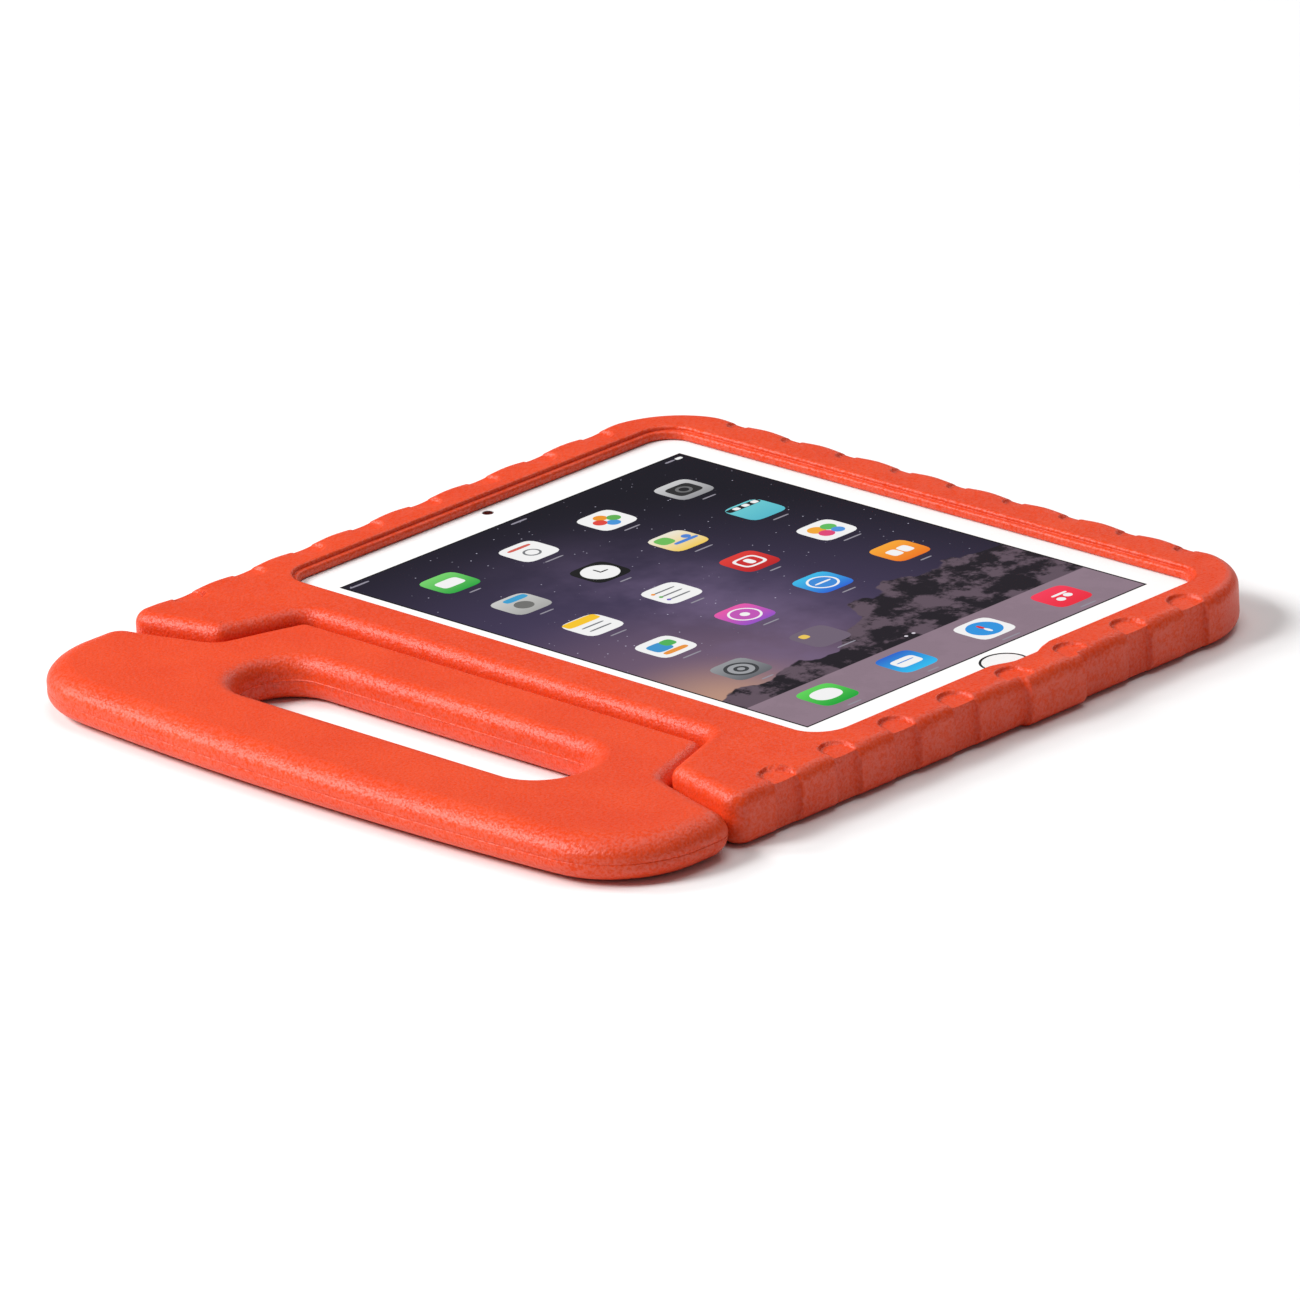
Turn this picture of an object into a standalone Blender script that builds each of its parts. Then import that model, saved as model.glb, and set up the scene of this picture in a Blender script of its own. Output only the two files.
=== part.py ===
"""Moulded foam bumper case for a 9.7 inch class tablet, with its swing-out carry handle.

The case lies on its back, screen up: X runs along the tablet's long side, Y from the
handle (-Y) to the far edge (+Y), Z up. The origin is the middle of the underside of the
whole object's box. The foam body holds the tablet under a stepped lip, and the handle
turns on two pins that are held in the body's ears and run in bushes in its tab.
"""
import math

import bmesh
import bpy
from mathutils import Matrix, Vector

MM = 0.001
FIT_GAP = 0.3 * MM                 # air between pieces that touch
PAST = 3.0 * MM                    # how far a cutter runs past the surface it opens
SEAM_GAP = 1.3 * MM                # air between the handle and the body

# Whole object
FAR_Y = 145.0 * MM
OUTER_Y = -145.0 * MM              # outer edge of the handle
BODY_HALF = 129.5 * MM
BODY_HEIGHT = 16.7 * MM
BODY_EDGE = 6.0 * MM               # edge rounding of the body
EAR_RADIUS = 6.0 * MM
FAR_CORNER_RADIUS = 30.0 * MM

# Handle
HANDLE_HALF = 131.5 * MM
HANDLE_HEIGHT = 14.0 * MM
HANDLE_EDGE = 6.6 * MM
BOW_HALF = 50.0 * MM               # where the outer edge starts to bow back
WING_OUTER_Y = -138.7 * MM
WING_OUTER_RADIUS = 32.0 * MM
WING_INNER_Y = -94.1 * MM
WING_INNER_RADIUS = 9.0 * MM
NECK = (94.6 * MM, -85.7 * MM)     # inner corner between the tab and the wing
NECK_RADIUS = 6.0 * MM
TAB_TIP_Y = -58.1 * MM             # straight edge of the tab, next to the body
TAB_TIP_HALF = 84.6 * MM
TAB_TIP_RADIUS = 5.0 * MM
HAND_HOLE_HALF = (69.5 * MM, 14.8 * MM)
HAND_HOLE_Y = -96.5 * MM
HAND_HOLE_RADIUS = 14.0 * MM

# Pivot of the handle
PIVOT_Y = TAB_TIP_Y - HANDLE_HEIGHT / 2
PIVOT_Z = HANDLE_HEIGHT / 2
PIN_RADIUS = 2.5 * MM
PIN_CLEARANCE = 0.06 * MM
PIN_START = 73.5 * MM              # inner end of the pin, from the middle
FLANGE_START = 102.0 * MM
FLANGE_THICKNESS = 2.4 * MM
FLANGE_RADIUS = 5.5 * MM
BUSH_RADIUS = 4.4 * MM
BUSH_START = 74.5 * MM
BUSH_END = 85.5 * MM
ROUND_STEPS = 24                   # sides of a round piece

# Tablet and the space for it
TABLET_HALF = (120.0 * MM, 84.75 * MM)
TABLET_CORNER = 11.0 * MM
TABLET_Y = 44.3 * MM               # middle of the tablet
TABLET_BASE = 6.4 * MM             # underside of the tablet, on the case's back panel
TABLET_TOP = 12.5 * MM
HOUSING_EDGE = 2.0 * MM
HOUSING_WALL = 1.1 * MM
HOUSING_FLOOR = 0.8 * MM
GLASS_THICKNESS = 0.8 * MM
DISPLAY_HALF = (99.5 * MM, 75.0 * MM)
DISPLAY_THICKNESS = 1.6 * MM
WINDOW_HALF = (113.3 * MM, 83.3 * MM)
WINDOW_CORNER = 9.0 * MM
LIP_STEP_Z = 15.4 * MM             # ledge half way up the window's lip
LIP_STEP_WIDTH = 1.7 * MM

# Home button, the finger scoop in the lip and the bulge of the wall round it
HOME_X = 109.3 * MM
HOME_RADIUS = 7.5 * MM
HOME_THICKNESS = 1.1 * MM
SCOOP_RADIUS = 10.0 * MM
BULGE_HALF = 12.2 * MM
BULGE_DEPTH = 2.0 * MM
BULGE_ROOT = 10.0 * MM             # half of how far the bulge's block reaches into the wall
BULGE_EDGE = 5.5 * MM
BULGE_DROP = 0.2 * MM              # the bulge stays this far inside the top and the underside

# Grip grooves round the outer wall
GROOVE_WIDTH = 10.0 * MM
GROOVE_DEPTH = 1.8 * MM
GROOVE_REACH = 8.0 * MM            # how far a groove runs in over the top face
SIDE_PITCH = 25.3 * MM
FAR_PITCH = 23.7 * MM
FAR_GROOVE_WIDTH = 7.0 * MM
HOME_SIDE_STEPS = (-4.5, -3.5, -2.5, -1.5, 1.5, 2.5)
CAMERA_SIDE_STEPS = (-4.5, -3.5, -2.5, -1.5, -0.5, 0.5, 1.5, 2.5)
FAR_SIDE_STEPS = (-4, -3, -2, -1, 0, 1, 2, 3, 4)

# Controls on the tablet's edges
CONTROL_Z = 9.1 * MM
CONTROL_HEIGHT = 2.4 * MM
CONTROL_DEPTH = 1.9 * MM
CONTROL_PROUD = 0.5 * MM
BUTTON_LENGTH = 10.0 * MM
MUTE_LENGTH = 5.0 * MM
MUTE_TRAVEL = 2.0 * MM
VOLUME_UP_X = -88.0 * MM
VOLUME_DOWN_X = -74.0 * MM
MUTE_X = -103.0 * MM
POWER_Y = TABLET_Y + 64.0 * MM
JACK_Y = TABLET_Y - 68.0 * MM
JACK_BORE = 1.75 * MM              # radius
JACK_MOUTH = 1.8 * MM              # radius of the housing's hole for the jack
JACK_HALF = 2.4 * MM
JACK_ENDS = (-118.5 * MM, -107.0 * MM)
PORT_HALF = 4.6 * MM
PORT_ENDS = (110.0 * MM, 118.5 * MM)
PORT_MOUTH_HEIGHT = 2.4 * MM       # of the housing's slot for the charge port
REAR_CAMERA = (-106.0 * MM, TABLET_Y + 70.5 * MM)
REAR_CAMERA_RADIUS = 3.8 * MM
FRONT_CAMERA_X = -109.6 * MM
FRONT_CAMERA_RADIUS = 1.6 * MM

# Openings of the body for the controls and the rear camera
CAMERA_HOLE_RADIUS = 8.0 * MM
JACK_HOLE_RADIUS = 4.0 * MM
SLOT_HALF_HEIGHT = 3.0 * MM
VOLUME_SLOT = (MUTE_X - 7.0 * MM, VOLUME_DOWN_X + 9.0 * MM)
POWER_SLOT_HALF = 11.0 * MM

# What lies inside the tablet
CELL_HALF = (54.0 * MM, 33.0 * MM)
CELL_X = 18.0 * MM
CELL_SPREAD = 36.0 * MM            # from the tablet's middle to a cell's middle
CELL_THICKNESS = 1.9 * MM
BOARD_HALF = (25.0 * MM, 50.0 * MM)
BOARD_X = -68.0 * MM
BOARD_THICKNESS = 1.2 * MM
SPEAKER_X = (106.0 * MM, 116.5 * MM)
SPEAKER_SPREAD = 32.0 * MM
SPEAKER_HALF = 14.0 * MM
SPEAKER_THICKNESS = 3.0 * MM
SUNK = 0.05 * MM                   # lenses and the home button lie this far below the surface

FOAM = (0.82, 0.07, 0.028)
NYLON = (0.02, 0.02, 0.022)
ALUMINIUM = (0.62, 0.63, 0.65)
WHITE = (0.86, 0.86, 0.86)
BLACK_GLASS = (0.012, 0.012, 0.016)
DISPLAY = (0.03, 0.025, 0.06)
POUCH = (0.05, 0.05, 0.055)
BOARD = (0.02, 0.10, 0.05)


# ---------------------------------------------------------------- outlines

def mirrored(half):
    """Anticlockwise closed list from what lies on the +X side, bottom to top."""
    return half + [(-x, y) for x, y in reversed(half)]


def both(radii):
    """Corner radii for a mirrored outline."""
    return radii + radii[::-1]


def rectangle(half_x, half_y, x=0.0, y=0.0):
    """Anticlockwise corners of a rectangle about (x, y)."""
    return [(x + half_x, y - half_y), (x + half_x, y + half_y),
            (x - half_x, y + half_y), (x - half_x, y - half_y)]


def unit(start, end):
    """Direction from start to end."""
    dx, dy = end[0] - start[0], end[1] - start[1]
    size = math.hypot(dx, dy)
    return dx / size, dy / size


def grown(corners, distance):
    """Corners of an anticlockwise polygon with every side moved out by distance."""
    moved = []
    for index, here in enumerate(corners):
        first = unit(corners[index - 1], here)
        second = unit(here, corners[(index + 1) % len(corners)])
        normal_x = first[1] + second[1]
        normal_y = -first[0] - second[0]
        reach = distance / (1 + first[0] * second[0] + first[1] * second[1])
        moved.append((here[0] + normal_x * reach, here[1] + normal_y * reach))
    return moved


def rounded(corners, radii, steps=6):
    """Anticlockwise outline with an arc of the given radius at every corner."""
    outline = []
    for index, here in enumerate(corners):
        back = unit(here, corners[index - 1])
        ahead = unit(here, corners[(index + 1) % len(corners)])
        half = math.acos(max(-1.0, min(1.0, back[0] * ahead[0] + back[1] * ahead[1]))) / 2
        radius = radii[index]
        middle = (back[0] + ahead[0], back[1] + ahead[1])
        reach = radius / math.sin(half) / math.hypot(*middle)
        centre = (here[0] + middle[0] * reach, here[1] + middle[1] * reach)
        run = radius / math.tan(half)
        start = (here[0] + back[0] * run - centre[0], here[1] + back[1] * run - centre[1])
        sweep = math.pi - 2 * half
        if back[0] * ahead[1] - back[1] * ahead[0] > 0:
            sweep = -sweep
        for step in range(steps + 1):
            angle = sweep * step / steps
            outline.append((centre[0] + start[0] * math.cos(angle) - start[1] * math.sin(angle),
                            centre[1] + start[0] * math.sin(angle) + start[1] * math.cos(angle)))
    return outline


def turns_left(corners, index):
    """True where an anticlockwise polygon is convex."""
    first = unit(corners[index - 1], corners[index])
    second = unit(corners[index], corners[(index + 1) % len(corners)])
    return first[0] * second[1] - first[1] * second[0] > 0


def shrunk_outline(corners, radii, edge, steps=6):
    """Rounded outline that lies edge inside the given one, for a bevel to grow back."""
    new_radii = []
    for index, radius in enumerate(radii):
        change = -edge if turns_left(corners, index) else edge
        new_radii.append(max(radius + change, 0.8 * MM))
    return rounded(grown(corners, -edge), new_radii, steps)


# ---------------------------------------------------------------- objects

def clear_scene():
    """Remove every object, mesh, curve and material."""
    for item in list(bpy.data.objects):
        bpy.data.objects.remove(item, do_unlink=True)
    for group in (bpy.data.meshes, bpy.data.curves, bpy.data.materials):
        for item in list(group):
            group.remove(item)


def collection(name):
    """New collection in the scene."""
    made = bpy.data.collections.new(name)
    bpy.context.scene.collection.children.link(made)
    return made


def material(name, colour, roughness, metallic=0.0):
    """Plain Principled material."""
    made = bpy.data.materials.new(name)
    made.use_nodes = True
    shader = made.node_tree.nodes["Principled BSDF"]
    shader.inputs["Base Color"].default_value = (*colour, 1.0)
    shader.inputs["Roughness"].default_value = roughness
    shader.inputs["Metallic"].default_value = metallic
    return made


def settle(curve_object, into):
    """Turn a curve object into a welded mesh object in the given collection."""
    bpy.context.scene.collection.objects.link(curve_object)
    graph = bpy.context.evaluated_depsgraph_get()
    mesh = bpy.data.meshes.new_from_object(curve_object.evaluated_get(graph))
    shape = bmesh.new()
    shape.from_mesh(mesh)
    bmesh.ops.remove_doubles(shape, verts=shape.verts, dist=0.00001)
    bmesh.ops.transform(shape, matrix=curve_object.matrix_world, verts=shape.verts)
    bmesh.ops.recalc_face_normals(shape, faces=shape.faces)
    shape.to_mesh(mesh)
    shape.free()
    name = curve_object.name
    curve = curve_object.data
    bpy.data.objects.remove(curve_object, do_unlink=True)
    bpy.data.curves.remove(curve)
    made = bpy.data.objects.new(name, mesh)
    into.objects.link(made)
    return made


def slab(name, outlines, low, high, into, edge=0.0, rings=2):
    """Flat solid between two heights; edge rounds its rims outward from the outlines."""
    curve = bpy.data.curves.new(name, "CURVE")
    curve.dimensions = "2D"
    curve.fill_mode = "BOTH"
    curve.extrude = (high - low) / 2 - edge
    curve.bevel_depth = edge
    curve.bevel_resolution = rings
    for outline in outlines:
        spline = curve.splines.new("POLY")
        spline.points.add(len(outline) - 1)
        for point, (x, y) in zip(spline.points, outline):
            point.co = (x, y, 0.0, 1.0)
        spline.use_cyclic_u = True
    shape = bpy.data.objects.new(name, curve)
    shape.matrix_world = Matrix.Translation((0.0, 0.0, (low + high) / 2))
    return settle(shape, into)


def rod(name, radius, start, end, into, steps=ROUND_STEPS):
    """Round bar between two points."""
    axis = end - start
    shape = bmesh.new()
    bmesh.ops.create_cone(shape, cap_ends=True, segments=steps, radius1=radius,
                          radius2=radius, depth=axis.length)
    turn = axis.to_track_quat("Z", "Y").to_matrix().to_4x4()
    bmesh.ops.transform(shape, matrix=Matrix.Translation((start + end) / 2) @ turn,
                        verts=shape.verts)
    return from_bmesh(name, shape, into)


def block(name, low, high, into):
    """Box between two corners."""
    shape = bmesh.new()
    bmesh.ops.create_cube(shape, size=1.0)
    size = high - low
    move = Matrix.Translation((low + high) / 2) @ Matrix.Diagonal((*size, 1.0))
    bmesh.ops.transform(shape, matrix=move, verts=shape.verts)
    return from_bmesh(name, shape, into)


def from_bmesh(name, shape, into):
    """Object made from a bmesh, which is freed."""
    mesh = bpy.data.meshes.new(name)
    shape.to_mesh(mesh)
    shape.free()
    made = bpy.data.objects.new(name, mesh)
    into.objects.link(made)
    return made


def boolean(target, cutter, operation="DIFFERENCE"):
    """Boolean modifier with the exact solver."""
    step = target.modifiers.new(cutter.name, "BOOLEAN")
    step.operation = operation
    step.solver = "EXACT"
    step.object = cutter
    cutter.display_type = "WIRE"
    cutter.hide_render = True


def finish(target, look, pivot=None):
    """Give an object its material, and its origin on the joint's axis."""
    target.data.materials.clear()
    target.data.materials.append(look)
    if pivot is not None:
        target.data.transform(Matrix.Translation(-pivot))
        target.location = pivot


# ---------------------------------------------------------------- the case

def handle_corners():
    """Corners and radii of the handle: bowed grip, two wings and the tab."""
    corners = mirrored([(BOW_HALF, OUTER_Y), (HANDLE_HALF, WING_OUTER_Y),
                        (HANDLE_HALF, WING_INNER_Y), NECK, (TAB_TIP_HALF, TAB_TIP_Y)])
    turn = math.atan2(WING_OUTER_Y - OUTER_Y, HANDLE_HALF - BOW_HALF)
    bow_radius = 0.98 * BOW_HALF / math.tan(turn / 2)
    radii = both([bow_radius, WING_OUTER_RADIUS, WING_INNER_RADIUS, NECK_RADIUS,
                  TAB_TIP_RADIUS])
    return corners, radii


def body_corners():
    """Corners and radii of the body, whose near edge follows the handle at the seam gap."""
    around = grown(handle_corners()[0], SEAM_GAP)
    wing, neck, tip = around[2], around[3], around[4]
    slope = (wing[1] - neck[1]) / (wing[0] - neck[0])
    ear = (BODY_HALF, neck[1] + slope * (BODY_HALF - neck[0]))
    corners = mirrored([tip, neck, ear, (BODY_HALF, FAR_Y)])
    radii = both([TAB_TIP_RADIUS + SEAM_GAP, NECK_RADIUS - SEAM_GAP, EAR_RADIUS,
                  FAR_CORNER_RADIUS])
    return corners, radii


def groove_cutter(cutters):
    """All the grip grooves as one cutter: C-shaped blocks that clasp the wall's edges."""
    top = BODY_HEIGHT - GROOVE_DEPTH
    profile = [(PAST, -PAST), (PAST, BODY_HEIGHT + PAST),
               (-GROOVE_REACH, BODY_HEIGHT + PAST), (-GROOVE_REACH, top),
               (-GROOVE_DEPTH, top), (-GROOVE_DEPTH, GROOVE_DEPTH),
               (-GROOVE_REACH, GROOVE_DEPTH), (-GROOVE_REACH, -PAST)]
    wide = slab("groove_wide", [profile], -GROOVE_WIDTH / 2, GROOVE_WIDTH / 2, cutters)
    narrow = slab("groove_narrow", [profile], -FAR_GROOVE_WIDTH / 2, FAR_GROOVE_WIDTH / 2,
                  cutters)
    upright = Matrix.Rotation(math.pi / 2, 4, "X")
    places = []
    for step in HOME_SIDE_STEPS:
        places.append((wide, BODY_HALF, TABLET_Y + step * SIDE_PITCH, 0.0))
    for step in CAMERA_SIDE_STEPS:
        places.append((wide, -BODY_HALF, TABLET_Y + step * SIDE_PITCH, math.pi))
    for step in FAR_SIDE_STEPS:
        places.append((narrow, step * FAR_PITCH, FAR_Y, math.pi / 2))
    shape = bmesh.new()
    for source, x, y, turn in places:
        copy = source.data.copy()
        copy.transform(Matrix.Translation((x, y, 0.0)) @ Matrix.Rotation(turn, 4, "Z") @ upright)
        shape.from_mesh(copy)
        bpy.data.meshes.remove(copy)
    bpy.data.objects.remove(wide, do_unlink=True)
    bpy.data.objects.remove(narrow, do_unlink=True)
    return from_bmesh("cut_grip_grooves", shape, cutters)


def case_body(parts, cutters, foam):
    """One foam moulding: back panel, rim with stepped lip, ears, grooves and cut-outs."""
    corners, radii = body_corners()
    body = slab("case_body", [shrunk_outline(corners, radii, BODY_EDGE)], 0.0, BODY_HEIGHT,
                parts, BODY_EDGE)
    bulge = rectangle(BULGE_ROOT, BULGE_HALF, BODY_HALF + BULGE_DEPTH - BULGE_ROOT, TABLET_Y)
    outline = shrunk_outline(bulge, [BULGE_EDGE + 1 * MM] * 4, BULGE_EDGE, 3)
    add = slab("add_home_bulge", [outline], BULGE_DROP, BODY_HEIGHT - BULGE_DROP, cutters,
               BULGE_EDGE)
    boolean(body, add, "UNION")
    boolean(body, groove_cutter(cutters))

    pocket = rounded(rectangle(TABLET_HALF[0] + FIT_GAP, TABLET_HALF[1] + FIT_GAP, 0.0, TABLET_Y),
                     [TABLET_CORNER + FIT_GAP] * 4)
    boolean(body, slab("cut_tablet_pocket", [pocket], TABLET_BASE - FIT_GAP,
                       TABLET_TOP + FIT_GAP, cutters))
    window = rectangle(*WINDOW_HALF, 0.0, TABLET_Y)
    above = BODY_HEIGHT + PAST
    boolean(body, slab("cut_window", [rounded(window, [WINDOW_CORNER] * 4)],
                       TABLET_TOP, above, cutters))
    step = rounded(grown(window, LIP_STEP_WIDTH), [WINDOW_CORNER + LIP_STEP_WIDTH] * 4)
    boolean(body, slab("cut_lip_step", [step], LIP_STEP_Z, above, cutters))
    boolean(body, rod("cut_home_scoop", SCOOP_RADIUS, Vector((HOME_X, TABLET_Y, TABLET_TOP)),
                      Vector((HOME_X, TABLET_Y, above)), cutters))
    body_openings(body, cutters)
    for side in (-1, 1):
        shank = rod(f"cut_pin_shank_{side}", PIN_RADIUS + FIT_GAP,
                    Vector((side * (PIN_START + PAST), PIVOT_Y, PIVOT_Z)),
                    Vector((side * (FLANGE_START + FLANGE_THICKNESS / 2), PIVOT_Y, PIVOT_Z)),
                    cutters)
        boolean(body, shank)
        flange = rod(f"cut_pin_flange_{side}", FLANGE_RADIUS + FIT_GAP,
                     Vector((side * (FLANGE_START - FIT_GAP), PIVOT_Y, PIVOT_Z)),
                     Vector((side * (FLANGE_START + FLANGE_THICKNESS + FIT_GAP), PIVOT_Y,
                             PIVOT_Z)), cutters)
        boolean(body, flange)
    finish(body, foam)
    return body


def body_openings(body, cutters):
    """Cut-outs for the rear camera, the volume keys, the power key and the headphone jack."""
    boolean(body, rod("cut_rear_camera", CAMERA_HOLE_RADIUS, Vector((*REAR_CAMERA, -PAST)),
                      Vector((*REAR_CAMERA, TABLET_BASE)), cutters))
    low, high = CONTROL_Z - SLOT_HALF_HEIGHT, CONTROL_Z + SLOT_HALF_HEIGHT
    inside = TABLET_Y + TABLET_HALF[1] - 1 * MM
    boolean(body, block("cut_volume_slot", Vector((VOLUME_SLOT[0], inside, low)),
                        Vector((VOLUME_SLOT[1], FAR_Y + PAST, high)), cutters))
    outer, inner = -BODY_HALF - PAST, 1 * MM - TABLET_HALF[0]
    boolean(body, block("cut_power_slot", Vector((outer, POWER_Y - POWER_SLOT_HALF, low)),
                        Vector((inner, POWER_Y + POWER_SLOT_HALF, high)), cutters))
    boolean(body, rod("cut_jack_hole", JACK_HOLE_RADIUS, Vector((outer, JACK_Y, CONTROL_Z)),
                      Vector((inner, JACK_Y, CONTROL_Z)), cutters))


def handle(parts, cutters, foam):
    """Foam handle: a rounded slab with the hand hole, and bores for the bushes in its tab."""
    corners, radii = handle_corners()
    outer = shrunk_outline(corners, radii, HANDLE_EDGE)
    hole = grown(rectangle(*HAND_HOLE_HALF, 0.0, HAND_HOLE_Y), HANDLE_EDGE)
    rim = rounded(hole, [HAND_HOLE_RADIUS + HANDLE_EDGE] * 4)
    grip = slab("handle", [outer, rim], 0.0, HANDLE_HEIGHT, parts, HANDLE_EDGE, 3)
    for side in (-1, 1):
        bore = rod(f"cut_bush_bore_{side}", BUSH_RADIUS + FIT_GAP,
                   Vector((side * (PIN_START - 1 * MM), PIVOT_Y, PIVOT_Z)),
                   Vector((side * NECK[0], PIVOT_Y, PIVOT_Z)), cutters)
        boolean(grip, bore)
    finish(grip, foam, Vector((0.0, PIVOT_Y, PIVOT_Z)))
    return grip


def pivot_pin(name, side, parts, look):
    """Nylon pin: a shank that runs in the bush and a flange moulded into the ear."""
    start = Vector((side * PIN_START, PIVOT_Y, PIVOT_Z))
    flange_start = Vector((side * FLANGE_START, PIVOT_Y, PIVOT_Z))
    end = flange_start + Vector((side * FLANGE_THICKNESS, 0.0, 0.0))
    pin = rod(name, PIN_RADIUS, start, end, parts)
    flange = rod(f"add_flange_{name}", FLANGE_RADIUS, flange_start,
                 end + Vector((side * 0.1 * MM, 0.0, 0.0)), bpy.data.collections["cutters"])
    boolean(pin, flange, "UNION")
    finish(pin, look)


def pivot_bush(name, side, parts, cutters, look):
    """Nylon sleeve set into the handle's tab, turning on the pin."""
    start = Vector((side * BUSH_START, PIVOT_Y, PIVOT_Z))
    end = Vector((side * BUSH_END, PIVOT_Y, PIVOT_Z))
    over = Vector((side * 1 * MM, 0.0, 0.0))
    bush = rod(name, BUSH_RADIUS, start, end, parts)
    boolean(bush, rod(f"cut_{name}", PIN_RADIUS + PIN_CLEARANCE, start - over, end + over, cutters))
    finish(bush, look, Vector((0.0, PIVOT_Y, PIVOT_Z)))


# ---------------------------------------------------------------- the tablet

def rear_housing(parts, cutters, look):
    """Aluminium tray of the tablet, open upwards, with slots for its controls."""
    outline = rectangle(*TABLET_HALF, 0.0, TABLET_Y)
    rim = TABLET_TOP - GLASS_THICKNESS - FIT_GAP
    above = TABLET_TOP + PAST
    tray = slab("tablet_rear_housing",
                [shrunk_outline(outline, [TABLET_CORNER] * 4, HOUSING_EDGE)],
                TABLET_BASE, above, parts, HOUSING_EDGE)
    width, depth = BODY_HALF, TABLET_HALF[1] + PAST
    boolean(tray, block("cut_housing_top", Vector((-width, TABLET_Y - depth, rim)),
                        Vector((width, TABLET_Y + depth, above + PAST)), cutters))
    cavity = rounded(grown(outline, -HOUSING_WALL), [TABLET_CORNER - HOUSING_WALL] * 4)
    boolean(tray, slab("cut_housing_cavity", [cavity], TABLET_BASE + HOUSING_FLOOR, above,
                       cutters))
    boolean(tray, rod("cut_housing_camera", REAR_CAMERA_RADIUS + FIT_GAP,
                      Vector((*REAR_CAMERA, 0.0)), Vector((*REAR_CAMERA, above)), cutters))
    half_height = CONTROL_HEIGHT / 2 + FIT_GAP
    far = TABLET_Y + TABLET_HALF[1]
    reach = 2 * MM
    keys = [("volume_up", VOLUME_UP_X, BUTTON_LENGTH / 2),
            ("volume_down", VOLUME_DOWN_X, BUTTON_LENGTH / 2),
            ("mute", MUTE_X + MUTE_TRAVEL / 2, (MUTE_LENGTH + MUTE_TRAVEL) / 2)]
    for key, x, half in keys:
        half += FIT_GAP
        boolean(tray, block(f"cut_housing_{key}",
                            Vector((x - half, far - reach, CONTROL_Z - half_height)),
                            Vector((x + half, far + reach, CONTROL_Z + half_height)), cutters))
    half = BUTTON_LENGTH / 2 + FIT_GAP
    edge = -TABLET_HALF[0]
    boolean(tray, block("cut_housing_power",
                        Vector((edge - reach, POWER_Y - half, CONTROL_Z - half_height)),
                        Vector((edge + reach, POWER_Y + half, CONTROL_Z + half_height)), cutters))
    boolean(tray, rod("cut_housing_jack", JACK_MOUTH,
                      Vector((edge - reach, JACK_Y, CONTROL_Z)),
                      Vector((edge + reach, JACK_Y, CONTROL_Z)), cutters))
    half = PORT_MOUTH_HEIGHT / 2
    boolean(tray, block("cut_housing_port",
                        Vector((-edge - reach, TABLET_Y - PORT_HALF, CONTROL_Z - half)),
                        Vector((-edge + reach, TABLET_Y + PORT_HALF, CONTROL_Z + half)),
                        cutters))
    finish(tray, look)


def front_glass(parts, cutters, look):
    """Cover glass with holes for the home button and the front camera."""
    edge = 0.2 * MM
    outline = rectangle(TABLET_HALF[0] - FIT_GAP, TABLET_HALF[1] - FIT_GAP, 0.0, TABLET_Y)
    glass = slab("tablet_front_glass", [shrunk_outline(outline, [TABLET_CORNER] * 4, edge)],
                 TABLET_TOP - GLASS_THICKNESS, TABLET_TOP, parts, edge, 0)
    low, high = TABLET_BASE, TABLET_TOP + PAST
    boolean(glass, rod("cut_glass_home", HOME_RADIUS + FIT_GAP, Vector((HOME_X, TABLET_Y, low)),
                       Vector((HOME_X, TABLET_Y, high)), cutters, 40))
    boolean(glass, rod("cut_glass_camera", FRONT_CAMERA_RADIUS + FIT_GAP,
                       Vector((FRONT_CAMERA_X, TABLET_Y, low)),
                       Vector((FRONT_CAMERA_X, TABLET_Y, high)), cutters, 16))
    finish(glass, look)


def edge_key(name, x, y, length, along_x, parts, look):
    """Pill-shaped key in the tablet's edge, standing slightly proud of it."""
    radius = CONTROL_HEIGHT / 2 - 0.02 * MM
    pill = rounded(rectangle(length / 2, CONTROL_HEIGHT / 2), [radius] * 4, 4)
    key = slab(name, [pill], -CONTROL_DEPTH / 2, CONTROL_DEPTH / 2, parts)
    turn = Matrix.Rotation(math.pi / 2, 4, "X")
    if not along_x:
        turn = Matrix.Rotation(math.pi / 2, 4, "Z") @ turn
    key.data.transform(turn)
    key.location = (x, y, CONTROL_Z)
    key.data.materials.append(look)


def edge_keys(parts, look):
    """Volume, mute and power keys."""
    far = TABLET_Y + TABLET_HALF[1] + CONTROL_PROUD - CONTROL_DEPTH / 2
    edge_key("tablet_volume_up_button", VOLUME_UP_X, far, BUTTON_LENGTH, True, parts, look)
    edge_key("tablet_volume_down_button", VOLUME_DOWN_X, far, BUTTON_LENGTH, True, parts, look)
    edge_key("tablet_mute_switch", MUTE_X, far, MUTE_LENGTH, True, parts, look)
    side = -TABLET_HALF[0] - CONTROL_PROUD + CONTROL_DEPTH / 2
    edge_key("tablet_power_button", side, POWER_Y, BUTTON_LENGTH, False, parts, look)


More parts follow.
